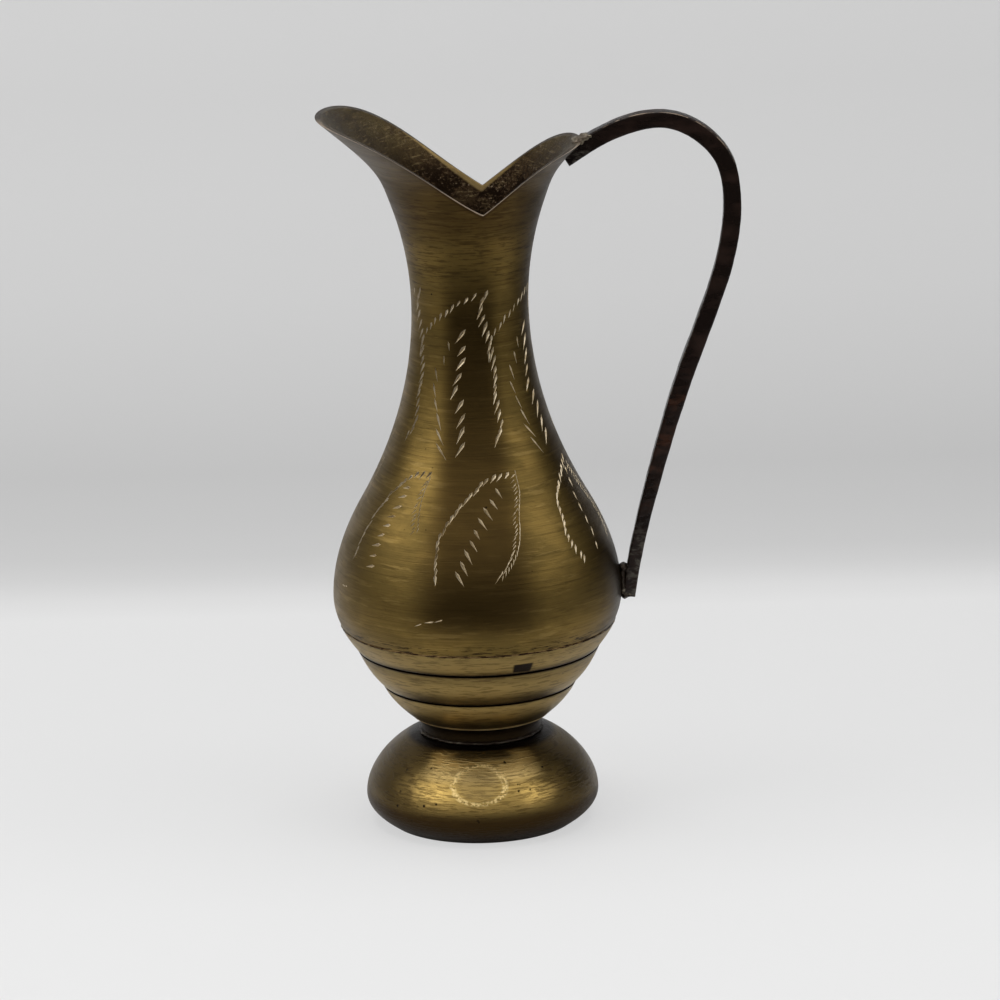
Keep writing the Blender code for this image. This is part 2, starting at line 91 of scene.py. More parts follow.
camera_data = bpy.data.cameras.new("camera")
camera_data.lens = 201.6
camera_data.sensor_width = 36.0
camera_data.clip_end = 5.0
camera = link("camera", camera_data)
back = Vector((0.0, -math.cos(CAMERA_PITCH), math.sin(CAMERA_PITCH)))
camera.matrix_world = (
    Matrix.Translation(AIM + CAMERA_DISTANCE * back)
    @ Matrix.Rotation(math.pi / 2 - CAMERA_PITCH, 4, "X")
    @ Matrix.Rotation(CAMERA_ROLL, 4, "Z")
)
bpy.context.scene.camera = camera
print("camera at", [round(place, 3) for place in camera.matrix_world.translation])

# %% [markdown]
# A piece is modelled as at the bench: start from a primitive, go into edit mode and shape it.
# These helpers keep the operators honest. An operator works on whatever is selected, so each
# helper first lets go of everything and picks up one piece.


# %% Bench helpers
def pick(*items):
    """Selects these pieces alone, the last one active."""
    if bpy.context.mode != "OBJECT":
        bpy.ops.object.mode_set(mode="OBJECT")
    bpy.ops.object.select_all(action="DESELECT")
    for item in items:
        item.select_set(True)
    bpy.context.view_layer.objects.active = items[-1]


def settle(item):
    """Puts the piece's place, turn and size into its mesh."""
    pick(item)
    bpy.ops.object.transform_apply(location=True, rotation=True, scale=True)


@contextmanager
def editing(item):
    """Edit mode on one piece, with all of it selected."""
    pick(item)
    bpy.ops.object.mode_set(mode="EDIT")
    bpy.ops.mesh.select_all(action="SELECT")
    yield
    bpy.ops.object.mode_set(mode="OBJECT")


# %% [markdown]
# Every piece ends in the same few ways: its doubles are merged and its faces turned outwards, its
# modifiers are applied, another shape is cut out of it, or it is shaded smooth. A piece with all
# of this done has one clean mesh, so that the next step can rely on it.


# %% Finishing a piece
def close_up(item, gap=1e-6):
    """Merges doubles and turns the faces outwards."""
    with editing(item):
        bpy.ops.mesh.remove_doubles(threshold=gap)
        bpy.ops.mesh.normals_make_consistent(inside=False)


def apply_modifiers(item):
    pick(item)
    for modifier in list(item.modifiers):
        bpy.ops.object.modifier_apply(modifier=modifier.name)


def cut(item, cutter, material_mode="INDEX"):
    """Takes the cutter's shape out of a piece. Both have to be closed."""
    boolean = item.modifiers.new("Cut", "BOOLEAN")
    boolean.operation = "DIFFERENCE"
    boolean.solver = "MANIFOLD"
    boolean.object = cutter
    boolean.material_mode = material_mode
    apply_modifiers(item)
    bpy.data.objects.remove(cutter)


def smooth(item, degrees=35.0):
    pick(item)
    bpy.ops.object.shade_smooth_by_angle(angle=math.radians(degrees))


def report(item):
    item.data.calc_loop_triangles()
    size = [round(side * 1000, 1) for side in item.dimensions]
    print(item.name, len(item.data.loop_triangles), "triangles,", size, "mm")


# %% [markdown]
# Every round piece here was spun on a lathe, so it starts as half of its outline. A single point
# is extruded along that outline and then spun once round the axis, and the seam is merged.


# %% Lathe helper
TURN_STEPS = 256
AXIS_HOLE = 0.00005
print("one turn in", TURN_STEPS, "steps of", round(360 / TURN_STEPS, 2), "degrees")


def spun(name, outline, closed=True, steps=TURN_STEPS):
    """A turned piece, from (radius, height) points of half its section.

    A line that isn't closed starts and ends at the axis, and the tiny holes there are filled.
    """
    radius, height = outline[0]
    bpy.ops.mesh.primitive_plane_add(size=0.001, location=(AXIS_X + radius, 0.0, height))
    item = bpy.context.active_object
    item.name = name
    item.data.name = name
    settle(item)
    centre, upright = (AXIS_X, 0.0, 0.0), (0.0, 0.0, 1.0)
    with editing(item):
        bpy.ops.mesh.merge(type="CENTER")
        for stop in [*outline[1:], *outline[:closed]]:
            move = (stop[0] - radius, 0.0, stop[1] - height)
            bpy.ops.mesh.extrude_region_move(TRANSFORM_OT_translate={"value": move})
            radius, height = stop
        bpy.ops.mesh.select_all(action="SELECT")
        bpy.ops.mesh.spin(steps=steps, angle=math.tau, center=centre, axis=upright)
    close_up(item)
    if not closed:
        with editing(item):
            bpy.ops.mesh.fill_holes(sides=0)
        close_up(item)
    return item


# %% [markdown]
# An outline needs curves. Two kinds are enough: a run between two stations whose slopes are
# known, which suits a wall, and a cubic curve with four corners, which suits a lip or a foot.
# Spun brass is one sheet, so the inner line is the outer one moved inwards by its thickness.


# %% Curves
def hermite(start, end, steps):
    """Radius and height pairs from one station (height, radius, slope) to the next."""
    height_a, radius_a, slope_a = start
    height_b, radius_b, slope_b = end
    rise = height_b - height_a
    points = []
    for step in range(steps + 1):
        t = step / steps
        radius = (
            (2 * t**3 - 3 * t**2 + 1) * radius_a
            + (t**3 - 2 * t**2 + t) * rise * slope_a
            + (3 * t**2 - 2 * t**3) * radius_b
            + (t**3 - t**2) * rise * slope_b
        )
        points.append((radius, height_a + rise * t))
    return points


def bezier(steps, *corners):
    """Points of a cubic curve in a plane, from its four corners."""
    points = []
    for step in range(steps + 1):
        t = step / steps
        weights = ((1 - t) ** 3, 3 * t * (1 - t) ** 2, 3 * t**2 * (1 - t), t**3)
        points.append(tuple(sum(w * c[side] for w, c in zip(weights, corners)) for side in (0, 1)))
    return points


def joined(*runs):
    points = list(runs[0])
    for run in runs[1:]:
        points.extend(run[1:] if math.dist(points[-1], run[0]) < 1e-6 else run)
    return points


def inset(points, depth):
    """A run down a wall, moved inwards by the wall's thickness."""
    moved = []
    for index, (radius, height) in enumerate(points):
        before = Vector(points[max(index - 1, 0)])
        after = Vector(points[min(index + 1, len(points) - 1)])
        along = (after - before).normalized()
        moved.append((radius + along.y * depth, height - along.x * depth))
    return moved


print("the middle of an arch:", bezier(2, (0, 0), (0, 1), (1, 1), (1, 0))[1])


# %% [markdown]
# The body's outline is a chain of stations, each with its height, its radius and how fast the
# radius changes there. A few numbers, read off at the places that the eye checks, say it all.

# %% Body outline
SEAM_HEIGHT = 0.0430
BODY_WALL = 0.0009
MOUTH_HEIGHT = 0.1503
MOUTH_RADIUS = 0.0310
NECK_HEIGHT = 0.1102
STATIONS = [
    (MOUTH_HEIGHT, MOUTH_RADIUS, 1.12),
    (0.1381, 0.0186, 0.68),
    (0.1323, 0.0160, 0.36),
    (NECK_HEIGHT, 0.01205, 0.0),
    (0.0692, 0.0236, -0.58),
    (0.0487, 0.0300, 0.0),
    (SEAM_HEIGHT, 0.0286, 0.47),
]
OUTER_ROWS = (22, 10, 28, 50, 26, 8)
INNER_ROWS = (11, 5, 9, 14, 8, 3)


def body_line(rows):
    pairs = zip(STATIONS, STATIONS[1:], rows)
    return joined(*(hermite(low, high, steps) for low, high, steps in pairs))


outer_line = body_line(OUTER_ROWS)
inner_line = inset(body_line(INNER_ROWS), BODY_WALL)
inner_line[0] = (inner_line[0][0], MOUTH_HEIGHT)
inner_line[-1] = (STATIONS[-1][1] - BODY_WALL, SEAM_HEIGHT)


def radius_reader(line):
    """A quick way to ask a turned outline for its radius at a height."""
    ordered = sorted(line, key=lambda point: point[1])
    heights = np.array([point[1] for point in ordered])
    radii = np.array([point[0] for point in ordered])
    return lambda height: np.interp(height, heights, radii)


fine_line = body_line([4 * rows for rows in OUTER_ROWS])
outer_radius = radius_reader(fine_line)
inner_radius = radius_reader(inset(fine_line, BODY_WALL))
print("neck", round(outer_radius(NECK_HEIGHT) * 2000, 1), "mm across")

# %% [markdown]
# The mouth was sheared straight through from front to back, so that a V-shaped notch parts the
# long spout from the shorter lobe under the handle. The cut is one line seen from the front:
# for each height on the wall it says where the sheet ends.

# %% Saddle line
NOTCH_DEPTH = 0.0183
SPOUT_HEIGHT = MOUTH_HEIGHT - 0.0003
NOTCH_HEIGHT = SPOUT_HEIGHT - NOTCH_DEPTH
LOBE_HEIGHT = SPOUT_HEIGHT - 0.0062
NOTCH_OFFSET = 0.0032
LOBE_REACH = 0.0243

spout_tip = -SPOUT_REACH - BODY_WALL
lobe_rise = LOBE_HEIGHT - NOTCH_HEIGHT
spout_side = bezier(
    60,
    (spout_tip, SPOUT_HEIGHT),
    (spout_tip + 0.44 * SPOUT_REACH, SPOUT_HEIGHT),
    (NOTCH_OFFSET - 0.33 * SPOUT_REACH, NOTCH_HEIGHT + 0.31 * NOTCH_DEPTH),
    (NOTCH_OFFSET, NOTCH_HEIGHT),
)
lobe_side = bezier(
    60,
    (NOTCH_OFFSET, NOTCH_HEIGHT),
    (NOTCH_OFFSET + 0.26 * LOBE_REACH, NOTCH_HEIGHT + 0.38 * lobe_rise),
    (0.75 * LOBE_REACH, LOBE_HEIGHT + 0.04 * lobe_rise),
    (LOBE_REACH, LOBE_HEIGHT),
)
saddle = joined(spout_side, lobe_side)
saddle_reach = np.array([point[0] for point in saddle])
saddle_height = np.array([point[1] for point in saddle])


def cut_height(angle, radius_of):
    """Height at which the saddle cut meets a wall, at an angle round the axis from +X."""
    low, high = NECK_HEIGHT, MOUTH_HEIGHT
    for _ in range(40):
        middle = (low + high) / 2
        reach = radius_of(middle) * math.cos(angle)
        if np.interp(reach, saddle_reach, saddle_height) > middle:
            low = middle
        else:
            high = middle
    return low


print("notch", round(cut_height(math.radians(78), outer_radius) * 1000, 1), "mm up")

# %% [markdown]
# The body is spun with its inner and outer walls in one closed section. A Boolean would cut the
# mouth too, but it would leave ragged faces on the rim, which is the part that the light
# catches. So the rows above the neck are slid up or down their own walls until the top ones lie
# on the saddle line, and a few extra rows between the walls round the two edges of the lip.

# %% Upper body
LIP_ROUND = 0.00016
LIP_ROWS = 8

lip_rows = [
    (MOUTH_RADIUS - 0.0001 * step, MOUTH_HEIGHT + 0.00001) for step in range(LIP_ROWS, 0, -1)
]
section = inner_line[::-1] + lip_rows + outer_line
body = spun("brass_body", section)
print(len(section), "rows of", TURN_STEPS, "points")

# %% [markdown]
# A sheared edge is filed round, and a sharp one would catch no light. The rows over the lip lie
# on two small curves: down the outer wall, over the edge, and down the inner wall.


# %% Rows of the lip
WALL_STEP = 0.0004


def lip_point(kind, angle):
    """One of the rows that go over the lip, from the outer edge to the inner one."""
    points = []
    for radius_of in (outer_radius, inner_radius):
        top = cut_height(angle, radius_of)
        wall = Vector((radius_of(top), top))
        below = Vector((radius_of(top - WALL_STEP), top - WALL_STEP))
        points.append((wall, (below - wall).normalized()))
    (outside, outside_down), (inside, inside_down) = points
    across = (inside - outside).normalized()
    corner, down, over = (
        (outside, outside_down, across) if kind < LIP_ROWS / 2 else (inside, inside_down, -across)
    )
    step = kind if kind < LIP_ROWS / 2 else LIP_ROWS - 1 - kind
    t = (step + 1) / (LIP_ROWS / 2)
    start, end = corner + down * LIP_ROUND, corner + over * LIP_ROUND
    return (1 - t) ** 2 * start + 2 * t * (1 - t) * corner + t**2 * end


print("lip", [round(side * 1000, 1) for side in lip_point(0, 0.0)], "mm at the handle")

# %% [markdown]
# Now each point above the neck goes to its new height. It needs to know its row, its angle and
# where the cut meets the wall there. The column next to the notch is turned until it lies in the
# notch, or the V would be blunt.


# %% Slide to the saddle line
def slide_to_saddle(item):
    """Slides the rows above the neck along their wall until the top one meets the cut."""
    notch_angle = math.acos(NOTCH_OFFSET / outer_radius(NOTCH_HEIGHT))
    spots = np.array(section)
    count = len(item.data.vertices)
    places = np.empty(count * 3)
    item.data.vertices.foreach_get("co", places)
    places = places.reshape(-1, 3)
    places[:, 0] -= AXIS_X
    radii = np.hypot(places[:, 0], places[:, 1])
    angles = np.arctan2(places[:, 1], places[:, 0])
    rows = np.empty(count, int)
    for start in range(0, count, 4096):
        part = slice(start, start + 4096)
        gap = np.hypot(
            radii[part, None] - spots[None, :, 0], places[part, 2, None] - spots[None, :, 1]
        )
        rows[part] = gap.argmin(axis=1)
    step = math.tau / TURN_STEPS
    lip_start, lip_end = len(inner_line), len(inner_line) + LIP_ROWS
    tops = {}
    for index in range(count):
        row, angle = rows[index], angles[index]
        height = places[index, 2]
        if height < NECK_HEIGHT:
            continue
        share = min(1.0, (height - NECK_HEIGHT) / (MOUTH_HEIGHT - NECK_HEIGHT))
        miss = abs(angle) - notch_angle
        if abs(miss) < step / 2:
            angle -= math.copysign(miss, angle) * share
        key = round(angle, 5)
        if key not in tops:
            tops[key] = (cut_height(angle, outer_radius), cut_height(angle, inner_radius))
        if lip_start <= row < lip_end:
            radius, height = lip_point(lip_end - 1 - row, angle)
        else:
            inside = row < lip_start
            radius_of = inner_radius if inside else outer_radius
            top = tops[key][int(inside)] - 1.1 * LIP_ROUND
            height = NECK_HEIGHT + share * (top - NECK_HEIGHT)
            radius = radius_of(height)
        places[index] = (radius * math.cos(angle), radius * math.sin(angle), height)
    places[:, 0] += AXIS_X
    item.data.vertices.foreach_set("co", places.ravel())
    item.data.update()


slide_to_saddle(body)
close_up(body, 1e-7)
report(body)

# %% [markdown]
# A finished piece has to ride with the vase and take the place of its plain solid. The three calls
# always go together, so one helper makes them when a piece is ready.


# %% Place on the vase
def hand_over(item, node):
    """The finished piece rides with the vase and stands for its plain solid."""
    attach(item, "root")
    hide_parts(node)
    report(item)


# %% [markdown]
# The leaves are rows of small marks that follow the metal's curve. A drawing in the plane would
# stretch when it is wrapped round the belly, so a path is given as a few spots on the wall, each
# an angle from the front and a height, and the marks are spaced by real distance on the metal.


# %% Spots on the wall
def on_wall(degrees, height):
    """A spot on the outer wall, with the directions east, up the wall and out of it."""
    angle = math.radians(degrees)
    radius = outer_radius(height)
    slope = (outer_radius(height + 0.0002) - outer_radius(height - 0.0002)) / 0.0004
    front = Vector((math.sin(angle), -math.cos(angle), 0.0))
    east = Vector((math.cos(angle), math.sin(angle), 0.0))
    up = (front * slope + Vector((0.0, 0.0, 1.0))).normalized()
    place = front * radius + Vector((AXIS_X, 0.0, height))
    return place, east, up, east.cross(up)


PATH_STEPS = 12


def flowing(knots):
    """A smooth run through the knots of a path."""
    run = []
    for index in range(len(knots) - 1):
        a = Vector(knots[max(index - 1, 0)])
        b, c = Vector(knots[index]), Vector(knots[index + 1])
        d = Vector(knots[min(index + 2, len(knots) - 1)])
        for step in range(PATH_STEPS):
            t = step / PATH_STEPS
            bend = (2 * a - 5 * b + 4 * c - d) * t**2 + (3 * b - a - 3 * c + d) * t**3
            run.append(0.5 * (2 * b + (c - a) * t + bend))
    run.append(Vector(knots[-1]))
    return run


def paced(knots, pace):
    """Spots at even distances along a path on the wall, each with its share of the way."""
    run = flowing(knots)
    places = [on_wall(*spot)[0] for spot in run]
    travelled = [0.0]
    for before, after in zip(places, places[1:]):
        travelled.append(travelled[-1] + (after - before).length)
    count = max(2, round(travelled[-1] / pace))
    spots = []
    for index in range(count + 1):
        goal = travelled[-1] * index / count
        degrees = float(np.interp(goal, travelled, [spot[0] for spot in run]))
        height = float(np.interp(goal, travelled, [spot[1] for spot in run]))
        spots.append((degrees, height, index / count))
    return spots


belly_front = on_wall(0.0, STATIONS[5][0])[0]
print("front of the belly at", [round(side, 4) for side in belly_front])

# %% [markdown]
# The leaves are struck, not drawn: each mark is one blow of a small chisel held at a slant, deep
# at one end and thin at the other. So one mark is modelled, a four-sided pit that starts as a
# cone with four sides, and is copied along the paths.


# %% The chisel mark
def chisel_mark():
    """One pit: a kite on top, its deepest point nearer the head. It is one unit long and wide."""
    bpy.ops.mesh.primitive_cone_add(vertices=4, radius1=0.0, radius2=0.75, depth=1.5)
    mark = bpy.context.active_object
    mark.name = "chisel_mark"
    mark.location = (0.0, 0.15, -0.25)
    settle(mark)
    for vertex in mark.data.vertices:
        spot = vertex.co
        if spot.z > 0.0 and abs(spot.x) < 0.1:
            spot.y = 0.555 if spot.y > 0.15 else -0.945
    return mark


mark = chisel_mark()
mark_spots = [vertex.co.copy() for vertex in mark.data.vertices]
mark_faces = [tuple(face.vertices) for face in mark.data.polygons]
bpy.data.objects.remove(mark)
print("one mark has", len(mark_spots), "corners")

# %% [markdown]
# No two leaves on the vase are the same. A leaf for each would be long to write, so three lower
# leaves are described and used in turn round the belly, and one upper leaf goes round the neck.
# Each path is a few spots read off along the real one.

# %% Leaf paths
# Paths of a lower leaf, in degrees from its tip and in metres up: the struck left side, the
# plain line on the right, and the row of marks between them. The leans are degrees from upright,
# of the side's first and last mark and of the row. Then come the row's pace, length and growth.
LOWER_LEAVES = [
    {
        "side": [
            (-1, 0.0782), (-13, 0.0777), (-25, 0.0738), (-31, 0.0699), (-34, 0.0657), (-36, 0.0604),
        ],
        "line": [(0, 0.0776), (-2, 0.0750), (-2.5, 0.0717), (-1, 0.0680)],
        "row": [(-15, 0.0754), (-17, 0.0723), (-20, 0.0680), (-22, 0.0640), (-23, 0.0598)],
        "leans": (38, 20, 74),
        "row_marks": (0.0023, 0.0026, 0.1),
    },
    {
        "side": [
            (-3, 0.0782), (-16, 0.0774), (-23, 0.0756), (-32, 0.0723), (-38.5, 0.0686),
            (-41, 0.0655), (-40.5, 0.0590),
        ],
        "line": [
            (3, 0.0784), (3, 0.0750), (0, 0.0710), (-2, 0.0672), (-4, 0.0645), (-8, 0.0616),
            (-12.5, 0.0593),
        ],
        "row": [(-10, 0.0751), (-14, 0.0725), (-21, 0.0693), (-26, 0.0640), (-31, 0.0593)],
        "leans": (40, 0, -28),
        "row_marks": (0.0024, 0.0026, 0.6),
    },
    {
        "side": [
            (0, 0.0783), (-8, 0.0770), (-16, 0.0751), (-25, 0.0719), (-27, 0.0682), (-28, 0.0644),
            (-22, 0.0599),
        ],
        "line": [(3, 0.0770), (8, 0.0730), (11, 0.0690), (11, 0.0650), (9, 0.0620)],
        "row": [
            (-4, 0.0762), (-6, 0.0734), (-9, 0.0704), (-9.5, 0.0675), (-9, 0.0644), (-10, 0.0615),
        ],
        "leans": (30, 22, 8),
        "row_marks": (0.0030, 0.0021, 0.0),
    },
]
LOWER_COUNT, LOWER_START = 7, -28.0
UPPER_COUNT, UPPER_START = 5, 16.0
UPPER_LEAF = {
    "side": [
        (-12, 0.1142), (-25, 0.1130), (-39, 0.1110), (-52, 0.1090), (-66, 0.1058), (-71, 0.1020),
    ],
    "chain": [
        (0, 0.1145), (-6, 0.1115), (2, 0.1047), (5.5, 0.0983), (4, 0.0931), (6, 0.0880),
        (1, 0.0850),
    ],
    "row": [
        (-25, 0.1062), (-25, 0.1012), (-28, 0.0980), (-30.5, 0.0946), (-26, 0.0916),
        (-24.5, 0.0886), (-25, 0.0838),
    ],
    "thin_row": [
        (-37, 0.1040), (-43, 0.1006), (-49, 0.0985), (-50, 0.0944), (-44.5, 0.0900),
        (-42, 0.0861), (-39, 0.0830),
    ],
}
print(LOWER_COUNT, "lower leaves and", UPPER_COUNT, "upper ones")

# %% [markdown]
# A hand never strikes twice in the same way. Each mark gets a small random change of its place,
# length, width, lean and depth, from a fixed seed, so that the vase is the same every time.


# %% Marks along the paths
hand = random.Random(11)
marks = []


def strike(path, pace, length, width, lean_from, lean_to, depth, shift=0.0, loose=1.0, grow=0.0):
    """Adds marks along a path. The lean is in degrees from straight up, to the right."""
    for degrees, height, share in paced([(spot[0] + shift, spot[1]) for spot in path], pace):
        lean = lean_from + (lean_to - lean_from) * share + loose * hand.uniform(-6, 6)
        marks.append(
            (
                degrees + loose * hand.uniform(-0.5, 0.5),
                height + loose * hand.uniform(-0.00015, 0.00015),
                length * (1 + grow * share) * (1 + loose * hand.uniform(-0.18, 0.18)),
                width * (1 + loose * hand.uniform(-0.15, 0.15)),
                math.radians(lean),
                depth * (1 + loose * hand.uniform(-0.2, 0.2)),
            )
        )


for number in range(LOWER_COUNT):
    leaf = LOWER_LEAVES[number % 3]
    turn = LOWER_START + number * 360 / LOWER_COUNT
    lean_tip, lean_end, row_lean = leaf["leans"]
    row_pace, row_length, row_grow = leaf["row_marks"]
    strike(leaf["side"], 0.00150, 0.0022, 0.00066, lean_tip, lean_end, 0.00030, turn)
    width, depth = 0.00062, 0.00032
    strike(leaf["row"], row_pace, row_length, width, row_lean, row_lean, depth, turn, 1.0, row_grow)
    hatch = [(spot[0] - 2.5, spot[1] - 0.0006) for spot in leaf["line"]]
    strike(hatch, 0.0009, 0.0016, 0.00028, 48, 36, 0.00014, turn)
    strike(leaf["line"], 0.0010, 0.0016, 0.00024, 2, 12, 0.00012, turn, 0.15)
for number in range(UPPER_COUNT):
    turn = UPPER_START + number * 360 / UPPER_COUNT
    leaf = UPPER_LEAF
    strike(leaf["chain"], 0.0018, 0.0031, 0.00066, 24, 20, 0.00030, turn)
    strike(leaf["side"], 0.0017, 0.0020, 0.00052, 28, 10, 0.00020, turn)
    strike(leaf["row"], 0.0031, 0.0037, 0.00080, 34, 28, 0.00034, turn)
    strike(leaf["thin_row"], 0.0031, 0.0021, 0.00044, -2, -36, 0.00024, turn, grow=1.2)
strike([(-23.5, 0.0498), (-15.2, 0.0508)], 0.0022, 0.0026, 0.00026, 74, 74, 0.00012)
strike([(-69.0, 0.0537), (-66.0, 0.0538)], 0.0030, 0.0010, 0.00028, 85, 85, 0.00014)
print(len(marks), "marks")

# %% [markdown]
# The marks are cut out of the body with a Boolean, so they catch the light like real ones; a bump
# would stay flat at the edges. The quick solver needs a cutter whose parts don't touch, so the
# marks are sorted into a few batches. The cut faces take the cutter's material, clean metal.

# %% Engraving
BATCHES = 6
aged_brass = bpy.data.materials.new("aged_brass")
cut_brass = bpy.data.materials.new("cut_brass")
body.data.materials.append(aged_brass)


def chisel_marks(chosen):
    """One cutter of marks that don't touch each other."""
    corners, faces = [], []
    for degrees, height, length, width, lean, depth in chosen:
        place, east, up, out = on_wall(degrees, height)
        along = up * math.cos(lean) + east * math.sin(lean)
        across = out.cross(along)
        first = len(corners)
        for spot in mark_spots:
            shift = across * spot.x * width + along * spot.y * length + out * spot.z * depth
            corners.append(place + shift)
        faces.extend(tuple(first + corner for corner in face) for face in mark_faces)
    mesh = bpy.data.meshes.new("chisel_marks")
    mesh.from_pydata(corners, [], faces)
    mesh.materials.append(cut_brass)
    item = link("chisel_marks", mesh)
    close_up(item, 1e-9)
    return item


def apart(chosen):
    """Sorts marks into batches, so that no two of a batch lie within reach of each other."""
    batches = [[] for _ in range(BATCHES)]
    for item in chosen:
        centre, length = on_wall(*item[:2])[0], item[2]
        for batch in batches:
            if all((centre - other).length > (length + far) / 2 for other, far, _ in batch):
                batch.append((centre, length, item))
                break
    return [[entry[2] for entry in batch] for batch in batches if batch]


for number, batch in enumerate(apart(marks)):
    cut(body, chisel_marks(batch), "TRANSFER")
    print("batch", number, "of", len(batch), "marks,", len(body.data.polygons), "faces")
smooth(body)
hand_over(body, "upper_body")

# %% [markdown]
# The lower bowl is a second spinning. Three terraces step down to a collar, and each ends in a
# fine raised lip over a groove. The grooves are what the eye reads, so they get small curves of
# their own instead of the plain steps of the solid.

# %% Bands of the bowl
COLLAR_BASE = 0.0197
RIDGE_HEIGHT = 0.0230
LOWER_BAND_TOP = 0.0296
MIDDLE_BAND_TOP = 0.0374
BOWL_TOP = 0.0426
SEAM_RADIUS = 0.0286
MIDDLE_RADIUS = 0.0253
LOWER_RADIUS = 0.0202
RIDGE_RADIUS = 0.0145
COLLAR_RADIUS = 0.0125
LIP_OUT = 0.0003
LIP_UP = 0.0006
BOWL_WALL = 0.0011
BOWL_FLOOR = 0.0014
BOWL_LAP = 0.0025
SPIGOT_RADIUS = 0.0070
SPIGOT_INSIDE = 0.0055
SPIGOT_DEPTH = 0.0026


def terrace(top, top_radius, bottom, bottom_radius, end_slope):
    return hermite((top, top_radius, 0.47), (bottom, bottom_radius, end_slope), 16)


def groove(height, radius):
    """A lip that curls under, and the groove below it, down to the top of the next terrace."""
    lip = (radius + LIP_OUT, height + LIP_UP)
    under = bezier(
        6,
        lip,
        (lip[0] - 0.00012, lip[1] - 0.00030),
        (radius - 0.00042, height + 0.00045),
        (radius - 0.00040, height + 0.00022),
    )
    rise = bezier(
        4,
        under[-1],
        (radius - 0.00040, height + 0.00008),
        (radius - 0.00012, height + 0.00004),
        (radius, height),
    )
    return joined(under, rise)


print("groove", round((MIDDLE_BAND_TOP - LOWER_BAND_TOP) * 1000, 1), "mm apart")

# %% [markdown]
# The bowl's outer line goes down over the three bands to the collar. Inside, guessed, a thin lap
# enters the body and a spigot enters the foot, so that solder has a wall to hold.

# %% Lower bowl
bowl_outer = joined(
    terrace(BOWL_TOP, SEAM_RADIUS, MIDDLE_BAND_TOP + LIP_UP, MIDDLE_RADIUS + LIP_OUT, 0.78),
    groove(MIDDLE_BAND_TOP, MIDDLE_RADIUS),
    terrace(MIDDLE_BAND_TOP, MIDDLE_RADIUS, LOWER_BAND_TOP + LIP_UP, LOWER_RADIUS + LIP_OUT, 1.05),
    groove(LOWER_BAND_TOP, LOWER_RADIUS),
    terrace(LOWER_BAND_TOP, LOWER_RADIUS, RIDGE_HEIGHT, RIDGE_RADIUS, 1.25),
    bezier(
        5,
        (RIDGE_RADIUS, RIDGE_HEIGHT),
        (RIDGE_RADIUS - 0.0001, RIDGE_HEIGHT - 0.0003),
        (RIDGE_RADIUS - 0.0005, RIDGE_HEIGHT - 0.0004),
        (RIDGE_RADIUS - 0.0009, RIDGE_HEIGHT - 0.0005),
    ),
    bezier(
        8,
        (RIDGE_RADIUS - 0.0009, RIDGE_HEIGHT - 0.0005),
        (COLLAR_RADIUS + 0.0003, RIDGE_HEIGHT - 0.0009),
        (COLLAR_RADIUS, COLLAR_BASE + 0.0009),
        (COLLAR_RADIUS, COLLAR_BASE),
    ),
)
lap_radius = SEAM_RADIUS - BODY_WALL - 0.0003
wall_across = BOWL_WALL * math.hypot(1.0, (SEAM_RADIUS - RIDGE_RADIUS) / (BOWL_TOP - RIDGE_HEIGHT))
bowl_inner = [
    (AXIS_HOLE, RIDGE_HEIGHT + BOWL_FLOOR),
    (RIDGE_RADIUS - wall_across, RIDGE_HEIGHT + BOWL_FLOOR),
    (LOWER_RADIUS - LIP_OUT - wall_across, LOWER_BAND_TOP),
    (MIDDLE_RADIUS - LIP_OUT - wall_across, MIDDLE_BAND_TOP),
    (lap_radius - 0.0008, BOWL_TOP),
    (lap_radius - 0.0008, BOWL_TOP + BOWL_LAP),
    (lap_radius, BOWL_TOP + BOWL_LAP),
    (lap_radius, BOWL_TOP),
]
spigot = [
    (SPIGOT_RADIUS, COLLAR_BASE),
    (SPIGOT_RADIUS, COLLAR_BASE - SPIGOT_DEPTH),
    (SPIGOT_INSIDE, COLLAR_BASE - SPIGOT_DEPTH),
    (SPIGOT_INSIDE, RIDGE_HEIGHT),
    (AXIS_HOLE, RIDGE_HEIGHT),
]
bowl = spun("brass_bowl", bowl_inner + bowl_outer + spigot, closed=False)
smooth(bowl, 40.0)
hand_over(bowl, "lower_bowl")

# %% [markdown]
# Two rings of solder close the joints. The one in the belly seam was filed almost flush, but
# pits are left in it; the one over the foot was never cleaned, so it is uneven and crumbly. Both
# are spun, and then a noise pushes their outer edge in and out.


# %% Solder rings
FOOT_HEIGHT = 0.0190
SPIGOT_BORE = 0.0073


def solder_ring(name, inner, outer, bottom, height, bulge, rough, grain):
    """A ring with a round outer edge, pushed in and out by a smooth noise."""
    edge = []
    for step in range(7):
        angle = math.pi / 2 - math.pi * step / 6
        edge.append((outer + bulge * math.cos(angle), bottom + height / 2 * (1 + math.sin(angle))))
    ring = spun(name, [*edge, (inner, bottom), (inner, bottom + height)])
    for vertex in ring.data.vertices:
        flat = Vector((vertex.co.x - AXIS_X, vertex.co.y))
        if flat.length > (inner + outer) / 2:
            push = noise.noise(vertex.co * grain) + 0.5 * noise.noise(vertex.co * grain * 2.7)
            flat *= 1 + rough * push / flat.length
            vertex.co.x, vertex.co.y = flat.x + AXIS_X, flat.y
    smooth(ring, 60.0)
    return ring


seam_ring = solder_ring(
    "seam_solder", SEAM_RADIUS - BODY_WALL, SEAM_RADIUS, BOWL_TOP, 0.0004, 0.00004, 0.00022, 1400
)
foot_ring = solder_ring(
    "foot_solder", SPIGOT_BORE, COLLAR_RADIUS, FOOT_HEIGHT, 0.0007, 0.0005, 0.00035, 900
)
report(seam_ring)
report(foot_ring)

